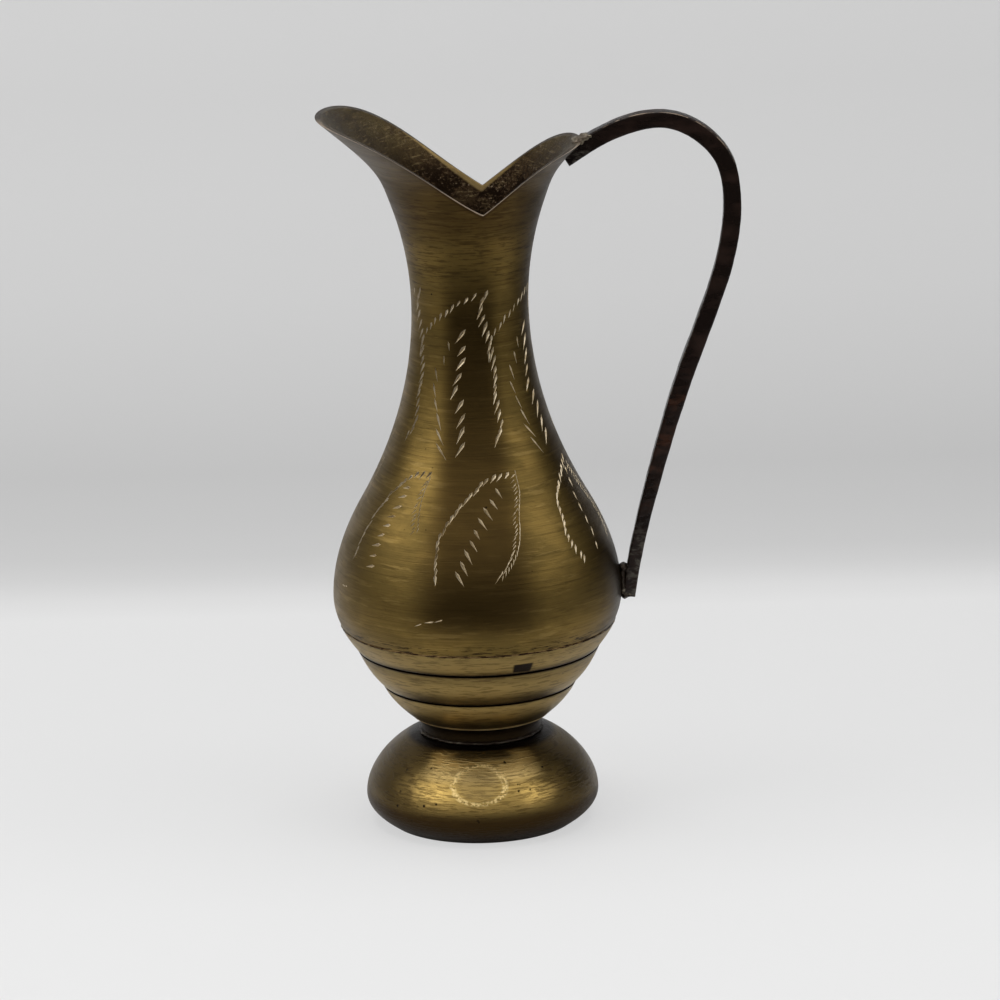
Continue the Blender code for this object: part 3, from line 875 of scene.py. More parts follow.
# %% [markdown]
# The foot is a bell of thicker sheet, open below and standing on a narrow rim. It was polished
# brighter than the body, so its outline has to be smooth: two long curves with many steps. The
# inside is the same line moved inwards, with half as many steps, because nobody sees it.

# %% Foot
FOOT_RADIUS = 0.0243
FOOT_WIDEST = 0.0058
FOOT_RIM = 0.01965
FOOT_SEAT = 0.0132
FOOT_WALL = 0.0011

foot_across = FOOT_RADIUS - FOOT_SEAT
foot_side = FOOT_HEIGHT - FOOT_WIDEST
foot_tuck = FOOT_RADIUS - FOOT_RIM
foot_outer = joined(
    bezier(
        40,
        (FOOT_SEAT, FOOT_HEIGHT),
        (FOOT_SEAT + 0.42 * foot_across, FOOT_HEIGHT * 0.94),
        (FOOT_RADIUS, FOOT_WIDEST + 0.45 * foot_side),
        (FOOT_RADIUS, FOOT_WIDEST),
    ),
    bezier(
        20,
        (FOOT_RADIUS, FOOT_WIDEST),
        (FOOT_RADIUS, FOOT_WIDEST * 0.50),
        (FOOT_RIM + 0.30 * foot_tuck, 0.18 * FOOT_WIDEST),
        (FOOT_RIM, 0.0),
    ),
)
foot_inner = inset(foot_outer, FOOT_WALL)
foot_inner[0] = (FOOT_SEAT, FOOT_HEIGHT - FOOT_WALL)
foot_inner[-1] = (FOOT_RIM - 0.0012, 0.0)
seat_top, seat_under = (SPIGOT_BORE, FOOT_HEIGHT), (SPIGOT_BORE, FOOT_HEIGHT - FOOT_WALL)
foot = spun("brass_foot", [seat_top, *foot_outer, *foot_inner[::-2], seat_under])
smooth(foot, 40.0)
report(foot)

# %% [markdown]
# The handle is a square iron bar, bent cold and hammered thinner towards the belly. Its path is
# a curve through eight knots, each with a direction, and the section is drawn along it. The
# arms between the knots are as long as for an arc of the same turn, so the bar never kinks.

# %% Path of the handle
BAR_THICKNESS = 0.0035
BAR_WIDTH = 0.0034
BAR_CHAMFER = 0.0004
BELLY_HEIGHT = 0.0487
LIP_HEIGHT = LOBE_HEIGHT - 0.0037
END_HEIGHT = BELLY_HEIGHT - 0.0016
CREST_HEIGHT = LOBE_HEIGHT + 0.0057 - BAR_THICKNESS / 2
end_reach = outer_radius(END_HEIGHT) + 0.0003 + 0.75 * BAR_THICKNESS / 2


def knot(reach, height, degrees_down, share):
    angle = math.radians(degrees_down)
    return Vector((reach, height)), Vector((math.cos(angle), -math.sin(angle))), share


handle_knots = [
    knot(outer_radius(LIP_HEIGHT), LIP_HEIGHT, -32.0, 1.0),
    knot(0.0392, CREST_HEIGHT, 0.0, 1.0),
    knot(0.0513, CREST_HEIGHT - 0.0065, 52.0, 1.05),
    knot(HANDLE_REACH - 1.05 * BAR_THICKNESS / 2, CREST_HEIGHT - 0.0177, 90.0, 1.05),
    knot(0.0506, CREST_HEIGHT - 0.0358, 109.0, 1.0),
    knot(0.0444, CREST_HEIGHT - 0.0523, 110.0, 1.0),
    knot(0.0372, CREST_HEIGHT - 0.0753, 106.0, 0.84),
    knot(end_reach, END_HEIGHT, 98.0, 0.75),
]
print("bar between", round(END_HEIGHT * 1000, 1), "and", round(CREST_HEIGHT * 1000, 1), "mm up")

# %% [markdown]
# The bar's section is a square with its corners taken off. It is drawn as a sheet, and its edge
# becomes the curve that the path carries along. A bevel on the finished bar would be uneven,
# because its faces stretch in the bends.


# %% Bent bar
def arm(one, other):
    """The length of a knot's arm towards its neighbour, as for an arc of the same turn."""
    turn = one[1].angle(other[1])
    return (one[0] - other[0]).length / (3 * math.cos(turn / 4) ** 2)


def bar_section(name):
    """The bar's section, drawn as a plane with its corners bevelled, as a closed curve."""
    bpy.ops.mesh.primitive_plane_add(size=1.0, location=(0.0, 0.0, 0.0))
    flat = bpy.context.active_object
    flat.name = name
    flat.scale = (BAR_THICKNESS, BAR_WIDTH, 1.0)
    settle(flat)
    with editing(flat):
        bpy.ops.mesh.bevel(offset=BAR_CHAMFER, segments=3, affect="VERTICES")
        bpy.ops.mesh.delete(type="ONLY_FACE")
        bpy.ops.mesh.select_all(action="SELECT")
        bpy.ops.mesh.subdivide(number_cuts=2)
    bpy.ops.object.convert(target="CURVE")
    return flat


section_curve = bar_section("bar_section")
bpy.ops.curve.primitive_bezier_curve_add(radius=0.01, location=(0.0, 0.0, 0.0))
path = bpy.context.active_object
path.name = "bent_bar"
path.data.dimensions = "2D"
path.data.resolution_u = 32
path.data.bevel_mode = "OBJECT"
path.data.bevel_object = section_curve
path.data.use_fill_caps = True
spline = path.data.splines[0]
spline.bezier_points.add(len(handle_knots) - 2)
for index, (point, one) in enumerate(zip(spline.bezier_points, handle_knots)):
    before = handle_knots[max(index - 1, 0)]
    after = handle_knots[min(index + 1, len(handle_knots) - 1)]
    point.handle_left_type = point.handle_right_type = "FREE"
    point.co = (*one[0], 0.0)
    point.handle_left = (*(one[0] - one[1] * arm(one, before)), 0.0)
    point.handle_right = (*(one[0] + one[1] * arm(one, after)), 0.0)
    point.radius = one[2]
pick(path)
bpy.ops.object.convert(target="MESH")
handle = bpy.context.active_object
handle.name = "bent_bar"
handle.data.name = "bent_bar"
bpy.data.objects.remove(section_curve)
handle.data.transform(Matrix.Translation((AXIS_X, 0.0, 0.0)) @ Matrix.Rotation(math.pi / 2, 4, "X"))
close_up(handle, 1e-6)
report(handle)

# %% [markdown]
# The bar's upper end is filed to lie against the neck, and its lower end stops short of the belly.
# A plug with the body's outer shape is taken out of the bar, so that the end fits the wall, which
# would be hard to model by hand.

# %% Fit of the handle
plug_top = MOUTH_HEIGHT + 0.004
plug_line = [(0.0335, plug_top), *body_line((24, 12, 24, 24, 24, 8))]
plug = spun("plug", [(AXIS_HOLE, plug_top), *plug_line, (AXIS_HOLE, SEAM_HEIGHT)], False, 192)
cut(handle, plug)
report(handle)

# %% [markdown]
# A hammer leaves a bar with faces that aren't quite flat, which shows in the way that light runs
# along it. Each point moves a little along its normal by a smooth noise, first in broad dents and
# then in fine ones. A bump couldn't change the bar's outline.


# %% Hammered bar
def hammered(item, depth, grain, seed):
    """Moves each point of a piece along its normal, by a noise."""
    shift = Vector((seed, seed, seed))
    moves = [
        vertex.normal * depth * noise.noise((vertex.co + shift) * grain)
        for vertex in item.data.vertices
    ]
    for vertex, move in zip(item.data.vertices, moves):
        vertex.co += move


hammered(handle, 0.00012, 160, 1.0)
hammered(handle, 0.00004, 900, 2.0)
smooth(handle, 40.0)
report(handle)

# %% [markdown]
# Solder runs where it likes, so the two lumps at the handle's ends are built from a few pressed
# balls, melted into one skin by a voxel remesh, smoothed, and roughened a little. Modelling such
# a skin by hand takes longer and looks less like a melt.


# %% Solder lumps
def solder_lump(name, blobs, voxel, rough, grain):
    """Blobs are (reach from the axis, y, height, and the three half sizes), in millimetres."""
    balls = []
    for blob in blobs:
        place = (AXIS_X + blob[0] / 1000, blob[1] / 1000, blob[2] / 1000)
        bpy.ops.mesh.primitive_ico_sphere_add(subdivisions=3, radius=0.001, location=place)
        ball = bpy.context.active_object
        ball.scale = blob[3:]
        settle(ball)
        balls.append(ball)
    pick(*balls)
    bpy.ops.object.join()
    lump = bpy.context.active_object
    lump.name = name
    lump.data.name = name
    skin = lump.modifiers.new("Skin", "REMESH")
    skin.mode = "VOXEL"
    skin.voxel_size = voxel
    soft = lump.modifiers.new("Soft", "SMOOTH")
    soft.iterations = 4
    soft.factor = 0.5
    apply_modifiers(lump)
    hammered(lump, rough, grain, 3.0)
    hammered(lump, rough * 0.5, grain * 2.6, 4.0)
    smooth(lump, 60.0)
    report(lump)
    return lump


# %% [markdown]
# The pale braze runs from the lip over the top of the bar, so its balls lie along that way. The
# grey lump at the belly fills the gap behind the bar's lower end and wraps round its corner.

# %% Braze at the lip and lump at the belly
lip_braze = solder_lump(
    "lip_solder",
    [
        (22.6, -0.9, 143.5, 1.0, 1.1, 0.55),
        (23.5, -1.55, 143.75, 0.7, 0.45, 0.8),
        (24.4, -1.35, 144.35, 0.9, 0.6, 0.55),
        (25.2, -1.2, 144.75, 0.8, 0.65, 0.35),
        (23.3, 0.0, 144.15, 1.3, 1.6, 0.5),
        (24.4, 0.3, 144.75, 1.2, 1.3, 0.32),
        (22.3, 0.5, 143.7, 0.9, 1.6, 0.45),
    ],
    0.00012,
    0.00012,
    1500,
)
belly_braze = solder_lump(
    "belly_solder",
    [
        (30.4, 0.0, 53.2, 0.95, 1.8, 0.9),
        (30.2, 0.0, 51.2, 0.8, 2.1, 2.0),
        (30.2, 0.0, 48.9, 0.8, 2.2, 2.0),
        (30.6, 0.0, 47.3, 0.9, 1.9, 0.9),
        (31.6, 0.0, 47.4, 1.2, 1.6, 0.6),
    ],
    0.00014,
    0.00018,
    1300,
)

# %% [markdown]
# Now the finishes. In Blender a finish is a tree of small nodes, and most of them only do sums.
# Added one by one they would fill pages, so one helper adds a node and fills its inputs, and a
# number that comes out of a node is wrapped, so that a sum of nodes can be written as a sum. The
# helpers add to the tree that was opened last.


# %% Node helpers
class Value:
    """A number that comes out of a node. Each sum with it adds the node that works it out."""

    def __init__(self, socket):
        self.socket = socket

    def __add__(self, other):
        return maths("ADD", self, other)

    def __sub__(self, other):
        return maths("SUBTRACT", self, other)

    def __rsub__(self, other):
        return maths("SUBTRACT", other, self)

    def __mul__(self, other):
        return maths("MULTIPLY", self, other)

    def __truediv__(self, other):
        return maths("DIVIDE", self, other)

    def __abs__(self):
        return maths("ABSOLUTE", self)

    __radd__, __rmul__ = __add__, __mul__


def feed(socket, value):
    """Joins a socket to another node's output, or sets its value."""
    value = getattr(value, "socket", value)
    if isinstance(value, bpy.types.NodeSocket):
        tree.links.new(value, socket)
    else:
        socket.default_value = (*value, 1.0) if socket.type == "RGBA" else value


def node(kind, inputs=(), **settings):
    """Adds a node with its settings, and fills its inputs by name or in their order."""
    added = tree.nodes.new("ShaderNode" + kind)
    for label, value in settings.items():
        setattr(added, label, value)
    for label, value in inputs.items() if isinstance(inputs, dict) else enumerate(inputs):
        feed(added.inputs[label], value)
    return added


# %% [markdown]
# A few sums come back all the time: how far a value is between two limits, the larger of two, a
# place measured from the vase's axis, and a cloudy noise. They get names of their own.


# %% Sums and places
def maths(operation, *values):
    return Value(node("Math", values, operation=operation).outputs[0])


def larger(first, second):
    return maths("MAXIMUM", first, second)


def vectors(operation, output, *values):
    return node("VectorMath", values, operation=operation).outputs[output]


def between(value, low, high):
    """How far a value is on its way from low to high, from 0 to 1. Low may be the larger."""
    inputs = {"Value": value, "From Min": low, "From Max": high}
    return Value(node("MapRange", inputs, interpolation_type="SMOOTHSTEP").outputs["Result"])


def object_place():
    """The place on the piece, in metres."""
    return node("TexCoord").outputs["Object"]


def from_axis(stretch=None):
    """The place on the vase, measured from its own axis, and stretched if asked."""
    place = node("Mapping", {"Vector": object_place(), "Location": (-AXIS_X, 0.0, 0.0)}).outputs[0]
    return node("Mapping", {"Vector": place, "Scale": stretch}).outputs[0] if stretch else place


def parts(vector):
    """The three numbers of a place or a direction."""
    return [Value(output) for output in node("SeparateXYZ", (vector,)).outputs]


def noise_value(vector, scale, detail=3.0, roughness=0.5, distortion=0.0):
    inputs = {"Vector": vector, "Scale": scale, "Detail": detail}
    inputs.update({"Roughness": roughness, "Distortion": distortion})
    return Value(node("TexNoise", inputs).outputs["Fac"])


# %% [markdown]
# A pattern that comes back in several metals is made once, as a group with a few numbers to
# turn. A spun piece shows fine lines from the lathe, so the first group is a noise that is pulled
# out round the axis: it changes fast with the height and the radius, and slowly round the vase.


# %% Lathe marks
def group(name, inputs, outputs):
    """Opens a new group with number inputs, and gives their values and the outputs."""
    global tree
    tree = bpy.data.node_groups.new(name, "ShaderNodeTree")
    for label, value in inputs.items():
        socket = tree.interface.new_socket(label, in_out="INPUT", socket_type="NodeSocketFloat")
        socket.default_value = value
    for label in outputs:
        tree.interface.new_socket(label, in_out="OUTPUT", socket_type="NodeSocketFloat")
    print("group", name, "with", dict(inputs))
    given, out = tree.nodes.new("NodeGroupInput"), tree.nodes.new("NodeGroupOutput")
    return {label: Value(given.outputs[label]) for label in inputs}, out.inputs


def lathe_marks():
    """Fine lines that run round the axis, closer together the higher their number."""
    given, out = group("lathe_marks", {"Lines": 5200.0, "Runs": 70.0}, ("Lines",))
    x, y, height = parts(from_axis())
    radius = maths("SQRT", x * x + y * y)
    packed = node("CombineXYZ", (x * given["Runs"], y * given["Runs"], height * given["Lines"]))
    inputs = {"Vector": packed.outputs[0], "W": radius * given["Lines"]}
    inputs.update({"Scale": 1.0, "Detail": 3.0, "Roughness": 0.65})
    feed(out["Lines"], node("TexNoise", inputs, noise_dimensions="4D").outputs["Fac"])
    return tree


LATHE_MARKS = lathe_marks()

# %% [markdown]
# Old brass is never even. It has cloudy patches of tarnish, small pits, and short level strokes
# where it was rubbed. Patches and strokes are the same thing, a noise seen between two limits,
# and differ only in how it is stretched. Pits are round cells, let through by a larger noise.


# %% Tarnish, scuffs and pits
def clouded(name, usual, stretch, detail, roughness, distortion=0.0):
    """A stretched noise that rises from 0 to 1 between two limits."""
    given, out = group(name, usual, ("Mask",))
    clouds = noise_value(from_axis(stretch), given["Scale"], detail, roughness, distortion)
    feed(out["Mask"], between(clouds, given["Low"], given["High"]))
    return tree


def pits():
    """Small dark holes, only where a second, larger pattern lets them be."""
    given, out = group("pits", {"Scale": 900.0, "Size": 0.25, "Share": 0.55}, ("Mask",))
    cells = node("TexVoronoi", {"Vector": from_axis(), "Scale": given["Scale"]})
    hole = 1.0 - between(cells.outputs["Distance"], given["Size"] * 0.5, given["Size"])
    allowed = between(noise_value(from_axis(), 260.0, 4.0), given["Share"], given["Share"] + 0.08)
    feed(out["Mask"], hole * allowed)
    return tree


TARNISH = clouded(
    "tarnish", {"Scale": 90.0, "Low": 0.42, "High": 0.6}, (0.6, 0.6, 1.4), 6.0, 0.6, 0.4
)
SCUFFS = clouded("scuffs", {"Scale": 150.0, "Low": 0.55, "High": 0.66}, (1.0, 1.0, 10.0), 4.0, 0.62)
PITS = pits()

# %% [markdown]
# A stain on the real vase sits at a place: at the front, on the right side, at the seam. So one
# more group tells where a spot is: how far round to the front and how far to the side, both as
# numbers from -1 to 1, and its height. Another way is to paint a mask by hand, but a number can
# be read and changed.


# %% Bearings
def bearings():
    """Where a spot is: 1 at the front and -1 at the back, -1 to 1 to the side, and its height."""
    _, out = group("bearings", {}, ("Front", "Side", "Height"))
    x, y, height = parts(from_axis())
    reach = maths("SQRT", x * x + y * y)
    feed(out["Front"], y * -1.0 / reach)
    feed(out["Side"], x / reach)
    feed(out["Height"], height)
    return tree


def near(spot, far, close):
    """1 close to a spot on the vase, falling to 0 further off."""
    return between(vectors("DISTANCE", "Value", object_place(), spot), far, close)


BEARINGS = bearings()

# %% [markdown]
# Shade is painted into the bowl's grooves, and the rim of the mouth is bare metal, so the finishes
# need to know where those are. Each mesh stores it as a number at every point: how far a spot is
# through the body's wall, how far it lies below the cut edge, and how much painted shade a band of
# the bowl gets.


# %% Places and painted shade on the mesh
def places_of(item):
    """All points of a mesh: reach from the axis, height, and angle from +X."""
    places = np.empty(len(item.data.vertices) * 3)
    item.data.vertices.foreach_get("co", places)
    places = places.reshape(-1, 3)
    x, y = places[:, 0] - AXIS_X, places[:, 1]
    return np.hypot(x, y), places[:, 2], np.arctan2(y, x)


def store(item, label, values):
    layer = item.data.attributes.new(label, "FLOAT", "POINT")
    layer.data.foreach_set("value", np.asarray(values, dtype=np.float32))
    low, high = (round(float(limit), 2) for limit in (min(values), max(values)))
    print(item.name, label, "from", low, "to", high)


EDGE_REACH = 6.0
reach, height, angle = places_of(body)
wall = outer_radius(height) - inner_radius(height)
store(body, "inside", np.clip((outer_radius(height) - reach) / wall, 0.0, 1.0))
turns = np.linspace(0.0, math.pi, 241)
cut_tops = np.array([cut_height(turn, outer_radius) for turn in turns])
below = (np.interp(np.abs(angle), turns, cut_tops) - height) * 1000
store(body, "below_edge", np.clip(below, 0.0, EDGE_REACH))

reach, height, angle = places_of(bowl)
# Painted shade down the bowl: dark in the grooves, under the ridge and on the collar below it.
groove_shade_by_height = [
    (0.0195, 0.97), (0.0225, 0.97), (0.0227, 0.0), (0.0231, 0.0), (0.0233, 0.7), (0.0244, 0.65),
    (0.0256, 0.40), (0.0268, 0.0), (0.0295, 0.0), (0.0297, 1.0), (0.0302, 0.9), (0.0304, 0.75),
    (0.0316, 0.6), (0.0330, 0.0), (0.0350, 0.0), (0.0358, 0.3), (0.0370, 0.35), (0.0375, 1.0),
    (0.0379, 1.0), (0.0382, 0.55), (0.0392, 0.0), (0.0402, 0.0), (0.0412, 0.15), (0.0425, 0.2),
]
groove_shade = np.interp(height, *zip(*groove_shade_by_height))
# In the lower cove only the front keeps it, as a painted dark reflection.
to_front = np.clip((-np.sin(angle) - 0.60) / 0.22, 0.0, 1.0)
in_cove = (height > 0.0303) & (height < 0.0335)
store(bowl, "groove", np.where(in_cove, groove_shade * to_front, groove_shade))

# %% [markdown]
# Every metal here is made in the same way. A Principled shader gets a base tone, and over it are
# laid thinner colours, each with the share that it covers, as tarnish and dirt lie over brass.
# Its roughness follows the same patterns, and a very small bump lets them catch the light.


# %% Layers of a finish
def metal(material, metallic):
    """Opens a material's tree, and gives its Principled shader."""
    global tree
    material.use_nodes = True
    tree = material.node_tree
    shader = tree.nodes["Principled BSDF"]
    shader.inputs["Metallic"].default_value = metallic
    print("finish", material.name)
    return shader


def new_metal(name, metallic, *items):
    """A new material all over these pieces, with its tree open."""
    material = bpy.data.materials.new(name)
    for item in items:
        item.data.materials.clear()
        item.data.materials.append(material)
        item.data.polygons.foreach_set("material_index", [0] * len(item.data.polygons))
    return metal(material, metallic)


def effect(effect_group, output=0, **values):
    """Places a group in a material with its own values."""
    return Value(node("Group", values, node_tree=effect_group).outputs[output])


def painted(label):
    """A number stored on the mesh."""
    return Value(node("Attribute", attribute_name=label).outputs["Fac"])


def layered(tone, *layers):
    """Lays colours over a tone, each with the share that it covers."""
    for share, colour in layers:
        inputs = {"Factor": share, "A": tone, "B": colour}
        tone = node("Mix", inputs, data_type="RGBA").outputs["Result"]
    return tone


def coat(shader, tone, roughness, relief=None, depth=0.0):
    """Joins a finish to its shader: colour, roughness and fine relief."""
    feed(shader.inputs["Base Color"], tone)
    feed(shader.inputs["Roughness"], roughness)
    if relief:
        bump = node("Bump", {"Height": relief, "Distance": depth, "Strength": 1.0})
        feed(shader.inputs["Normal"], bump.outputs["Normal"])


GOLD, OLIVE, BROWN = (0.185, 0.121, 0.034), (0.112, 0.077, 0.023), (0.036, 0.020, 0.007)
SOOT = (0.012, 0.007, 0.004)
FINE = 0.00003

# %% [markdown]
# Body and bowl are the same sheet and were never polished again, so they share one tone: a dull
# gold under olive tarnish, browner up the neck, with pits at the seam and soot round the handle's
# joint. The front of the belly and the right side are painted browner, a painted reflection of the
# dark in front of the vase and of the dark handle at its right. One function lays all this, for
# both materials.


# %% Brass of the body and the bowl
def plain_brass(shader):
    """The patterns, the tone and the dark spots that both share, in the tree now open."""
    look = SimpleNamespace(shader=shader)
    front, side, height = (effect(BEARINGS, output) for output in range(3))
    lines = effect(LATHE_MARKS)
    broad = effect(LATHE_MARKS, Lines=1500.0, Runs=45.0)
    cloud = effect(TARNISH, Scale=110.0, Low=0.40, High=0.66)
    look.stroke = effect(SCUFFS)
    look.speck = effect(PITS, Share=0.64)
    neck = between(height, 0.108, 0.124)
    gleam = effect(SCUFFS, Scale=95.0, Low=0.56, High=0.66)
    dashes = effect(SCUFFS, Scale=240.0, Low=0.52, High=0.60)
    # Painted reflection: the front of the belly is painted browner, for the dark that it reflects.
    painted_front_reflection = between(front, 0.86, 0.98) * between(height, 0.0445, 0.052)
    look.tone = layered(
        GOLD,
        (cloud * 0.6, OLIVE),
        (between(broad, 0.46, 0.62) * 0.30, OLIVE),
        (between(lines, 0.50, 0.72) * 0.40, BROWN),
        (look.stroke * (neck * 0.35 + 0.25), BROWN),
        (between(height, 0.120, 0.132) * 0.72, BROWN),
        (gleam * (0.34 - neck * 0.26), (0.330, 0.225, 0.075)),
        (dashes * neck * 0.6, BROWN),
        (painted_front_reflection * (0.75 - neck * 0.65), BROWN),
        # Painted reflection: the right side is painted browner, for the dark handle that it
        # reflects.
        (between(side, 0.80, 0.97) * 0.60, BROWN),
    )
    handle_joint = near((AXIS_X + 0.0300, 0.0, 0.0510), 0.015, 0.004)
    seam = between(abs(height - 0.0435), 0.0026, 0.0004)
    pitted = effect(SCUFFS, Scale=300.0, Low=0.54, High=0.60)
    look.dark = larger(handle_joint * 0.8, seam * pitted * 0.85)
    look.roughness = cloud * 0.10 + 0.31 + broad * 0.14
    look.relief = broad + (lines - look.speck)
    look.front, look.side, look.height, look.broad = front, side, height, broad
    return look


# %% [markdown]
# Inside, the neck was never cleaned: it is brown and crusted, black further down, and the spout
# is bare. The body's own mesh says where its inside begins, so one material can show both.

# %% Inside of the neck
look = plain_brass(metal(aged_brass, 1.0))
inside = between(painted("inside"), 0.45, 0.65)
spout = between(look.height, 0.1330, 0.1440)
grit = noise_value(from_axis(), 1700.0, 6.0, 0.75)
patch = noise_value(from_axis(), 240.0, 5.0, 0.6)
rubs = effect(SCUFFS, Scale=260.0, Low=0.56, High=0.64)
crust = between(grit + patch * 0.9, 1.06, 0.84)
inside_tone = layered(
    (0.060, 0.036, 0.019),
    (spout, (0.092, 0.065, 0.026)),
    (between(patch, 0.46, 0.58) * 0.7, (0.042, 0.027, 0.013)),
    (look.stroke * 0.6, (0.030, 0.020, 0.011)),
    (rubs * 0.55, (0.230, 0.170, 0.085)),
    (crust * (1.0 - spout * 0.75), SOOT),
    (between(grit, 0.60, 0.70) * 0.8, (0.40, 0.32, 0.22)),
)
print("inside of the neck:", len(tree.nodes), "nodes so far")

# %% [markdown]
# The cut edge of the sheet is rubbed pale at the front, with a painted shadow line under it, and on
# the back wall a band just inside the edge gets a painted sheen. All three follow the edge up and
# down, so they are placed by the stored distance from it and not by their height.

# %% Cut edge
below = painted("below_edge")
edge = between(below, 0.15, 0.06)
# Painted shadow: a brown line just under the cut edge, on the outer wall.
under = between(below, 1.0, 0.5) * between(inside, 1.0, 0.5)
# Painted sheen: a paler band on the back wall, just inside the edge.
painted_back_sheen = between(look.front, -0.72, -0.90) * between(below, 1.5, 0.8) * inside
body_tone = layered(
    look.tone,
    (inside, inside_tone),
    (larger(look.dark, look.speck), SOOT),
    (under * 0.7, BROWN),
    (edge, BROWN),
    (edge * between(look.front, 0.02, 0.30) * 0.85, (0.50, 0.39, 0.28)),
    (painted_back_sheen * 0.7, (0.30, 0.21, 0.085)),
)
coat(look.shader, body_tone, look.roughness, look.relief + inside * grit * 6.0, FINE)
print("brass of the body:", len(tree.nodes), "nodes")

# %% [markdown]
# The bowl is rubbed a little brighter than the body. Its grooves and the collar get painted shade,
# with a painted dark reflection in the lower cove at the front; a dark smudge sits on the upper
# band at the right, and the small ridge over the collar gets a painted highlight line.

# %% Brass of the bowl
look = plain_brass(new_metal("bowl_brass", 1.0, bowl))
rubs = effect(SCUFFS, Scale=260.0, Low=0.50, High=0.62)
smudge = between(abs(look.height - 0.0392) + look.broad * 0.0010, 0.0018, 0.0014)
smudge = smudge * between(abs(look.side - 0.335), 0.085, 0.060)
# The stored groove number is painted shade, laid on as soot.
dark = larger(larger(look.dark, painted("groove")), smudge)
# Painted highlight: a pale line along the ridge over the collar.
ridge_highlight = between(abs(look.height - (RIDGE_HEIGHT - 0.0001)), 0.0004, 0.0001)
bowl_tone = layered(
    look.tone,
    (0.75, (0.36, 0.255, 0.092)),
    (rubs * 0.45, BROWN),
    (larger(dark, look.speck), SOOT),
    (ridge_highlight * between(look.broad, 0.40, 0.52) * 0.8, (0.80, 0.62, 0.34)),
)
coat(look.shader, bowl_tone, look.roughness, look.relief, FINE)

# %% [markdown]
# The struck marks show clean metal, because the chisel took the tarnish away. It is pale, with a
# little dirt in it, and the wall of a mark that faces away from the light is painted nearly black,
# a painted shade. A wall's direction, set against the way round the vase, tells which of its walls
# it is.

# %% Fresh cuts
shader = metal(cut_brass, 0.40)
rubbed = effect(TARNISH, Scale=420.0, Low=0.42, High=0.66)
wall = node("NewGeometry").outputs["True Normal"]
round_way = vectors("CROSS_PRODUCT", "Vector", (0.0, 0.0, 1.0), from_axis())
round_way = vectors("NORMALIZE", "Vector", round_way)
facing_for_shade = vectors("DOT_PRODUCT", "Value", round_way, wall)
cut_tone = layered(
    (0.82, 0.68, 0.46),
    (rubbed, (0.42, 0.31, 0.16)),
    # Painted shade: walls that face one way round the vase are painted dark.
    (between(facing_for_shade, 0.10, 0.30) * 0.62, SOOT),
)
coat(shader, cut_tone, 0.36)

# %% [markdown]
# The foot was polished. A painted highlight lies across the front of its bulge and a paler one on
# the front of its crest, and it has brown brush strokes, a painted reflection of a dull oval with a
# broken bright ring, and painted shade under the collar, deepest at the front. The oval is drawn by
# a sum: the distance from its middle, with the height counted more.

# %% Polished foot
shader = new_metal("polished_brass", 1.0, foot)
front, side, height = (effect(BEARINGS, output) for output in range(3))
cloud = effect(TARNISH, Scale=120.0, Low=0.36, High=0.66)
speck = effect(PITS, Scale=620.0, Share=0.58)
brushed = effect(SCUFFS, Scale=300.0, Low=0.48, High=0.60)
# Painted highlight: the front of the bulge is painted bright gold.
rubbed = between(front + cloud * -0.07, 0.70, 0.95) * between(height, 0.0064, 0.0098)
# Painted highlight: a pale band at the front of the crest.
crest_highlight = between(height, 0.0126, 0.0146) * between(front, 0.74, 0.94)
# Painted reflection: a dull oval with a bright, broken ring on the foot's front.
across, rise = (side + 0.03) * 4.0, (height - 0.0130) / 0.0034
reflected_oval = maths("SQRT", across * across + rise * rise)
facing = between(front, 0.0, 0.5)
ring_breaks = between(noise_value(from_axis(), 1700.0, 3.0), 0.38, 0.62)
# Painted shade under the collar, with a darker painted patch at the front.
front_collar_shadow = between(height, 0.0164, 0.0178) * between(front, 0.86, 0.97)
collar_shade = larger(front_collar_shadow * 0.85, between(height, 0.0178, 0.0186))
foot_tone = layered(
    (0.115, 0.077, 0.026),
    (rubbed, (0.57, 0.382, 0.115)),
    (crest_highlight * 0.6, (0.85, 0.62, 0.26)),
    (brushed * 0.45, BROWN),
    (cloud * 0.30, OLIVE),
    # Darker towards the bottom of the foot.
    (between(height, 0.0080, 0.0056) * 0.90, BROWN),
    (between(reflected_oval, 1.0, 0.6) * 0.45 * facing, (0.24, 0.175, 0.075)),
    (between(abs(reflected_oval - 1.0), 0.16, 0.04) * ring_breaks * facing, (0.90, 0.68, 0.30)),
    (larger(collar_shade, speck), SOOT),
)
coat(shader, foot_tone, cloud * 0.10 + 0.34, brushed + (effect(LATHE_MARKS) - speck), FINE)

# %% [markdown]
# The bar is nearly black iron. Rust runs down its middle, pale flux stays at both ends, and the
# hammered edge that faces up and forward gets a painted highlight. It isn't treated as a metal: a
# thin skin of oxide reflects like paint, and keeps the bar dark.

# %% Dark bar
shader = new_metal("dark_bar", 0.0, handle)
height = effect(BEARINGS, 2)
cloud = effect(TARNISH, Scale=150.0, Low=0.45, High=0.65)
rust = effect(TARNISH, Scale=260.0, Low=0.50, High=0.62) * 0.6
red_run = between(height, 0.098, 0.088) * between(height, 0.064, 0.072)
bar_end = near((AXIS_X + outer_radius(LIP_HEIGHT) + 0.001, 0.0, LIP_HEIGHT), 0.0055, 0.0030)
flux = larger(between(height, 0.064, 0.058), bar_end)
flux = flux * effect(TARNISH, Scale=900.0, Low=0.46, High=0.62)
_, forward, upward = parts(node("NewGeometry").outputs["True Normal"])
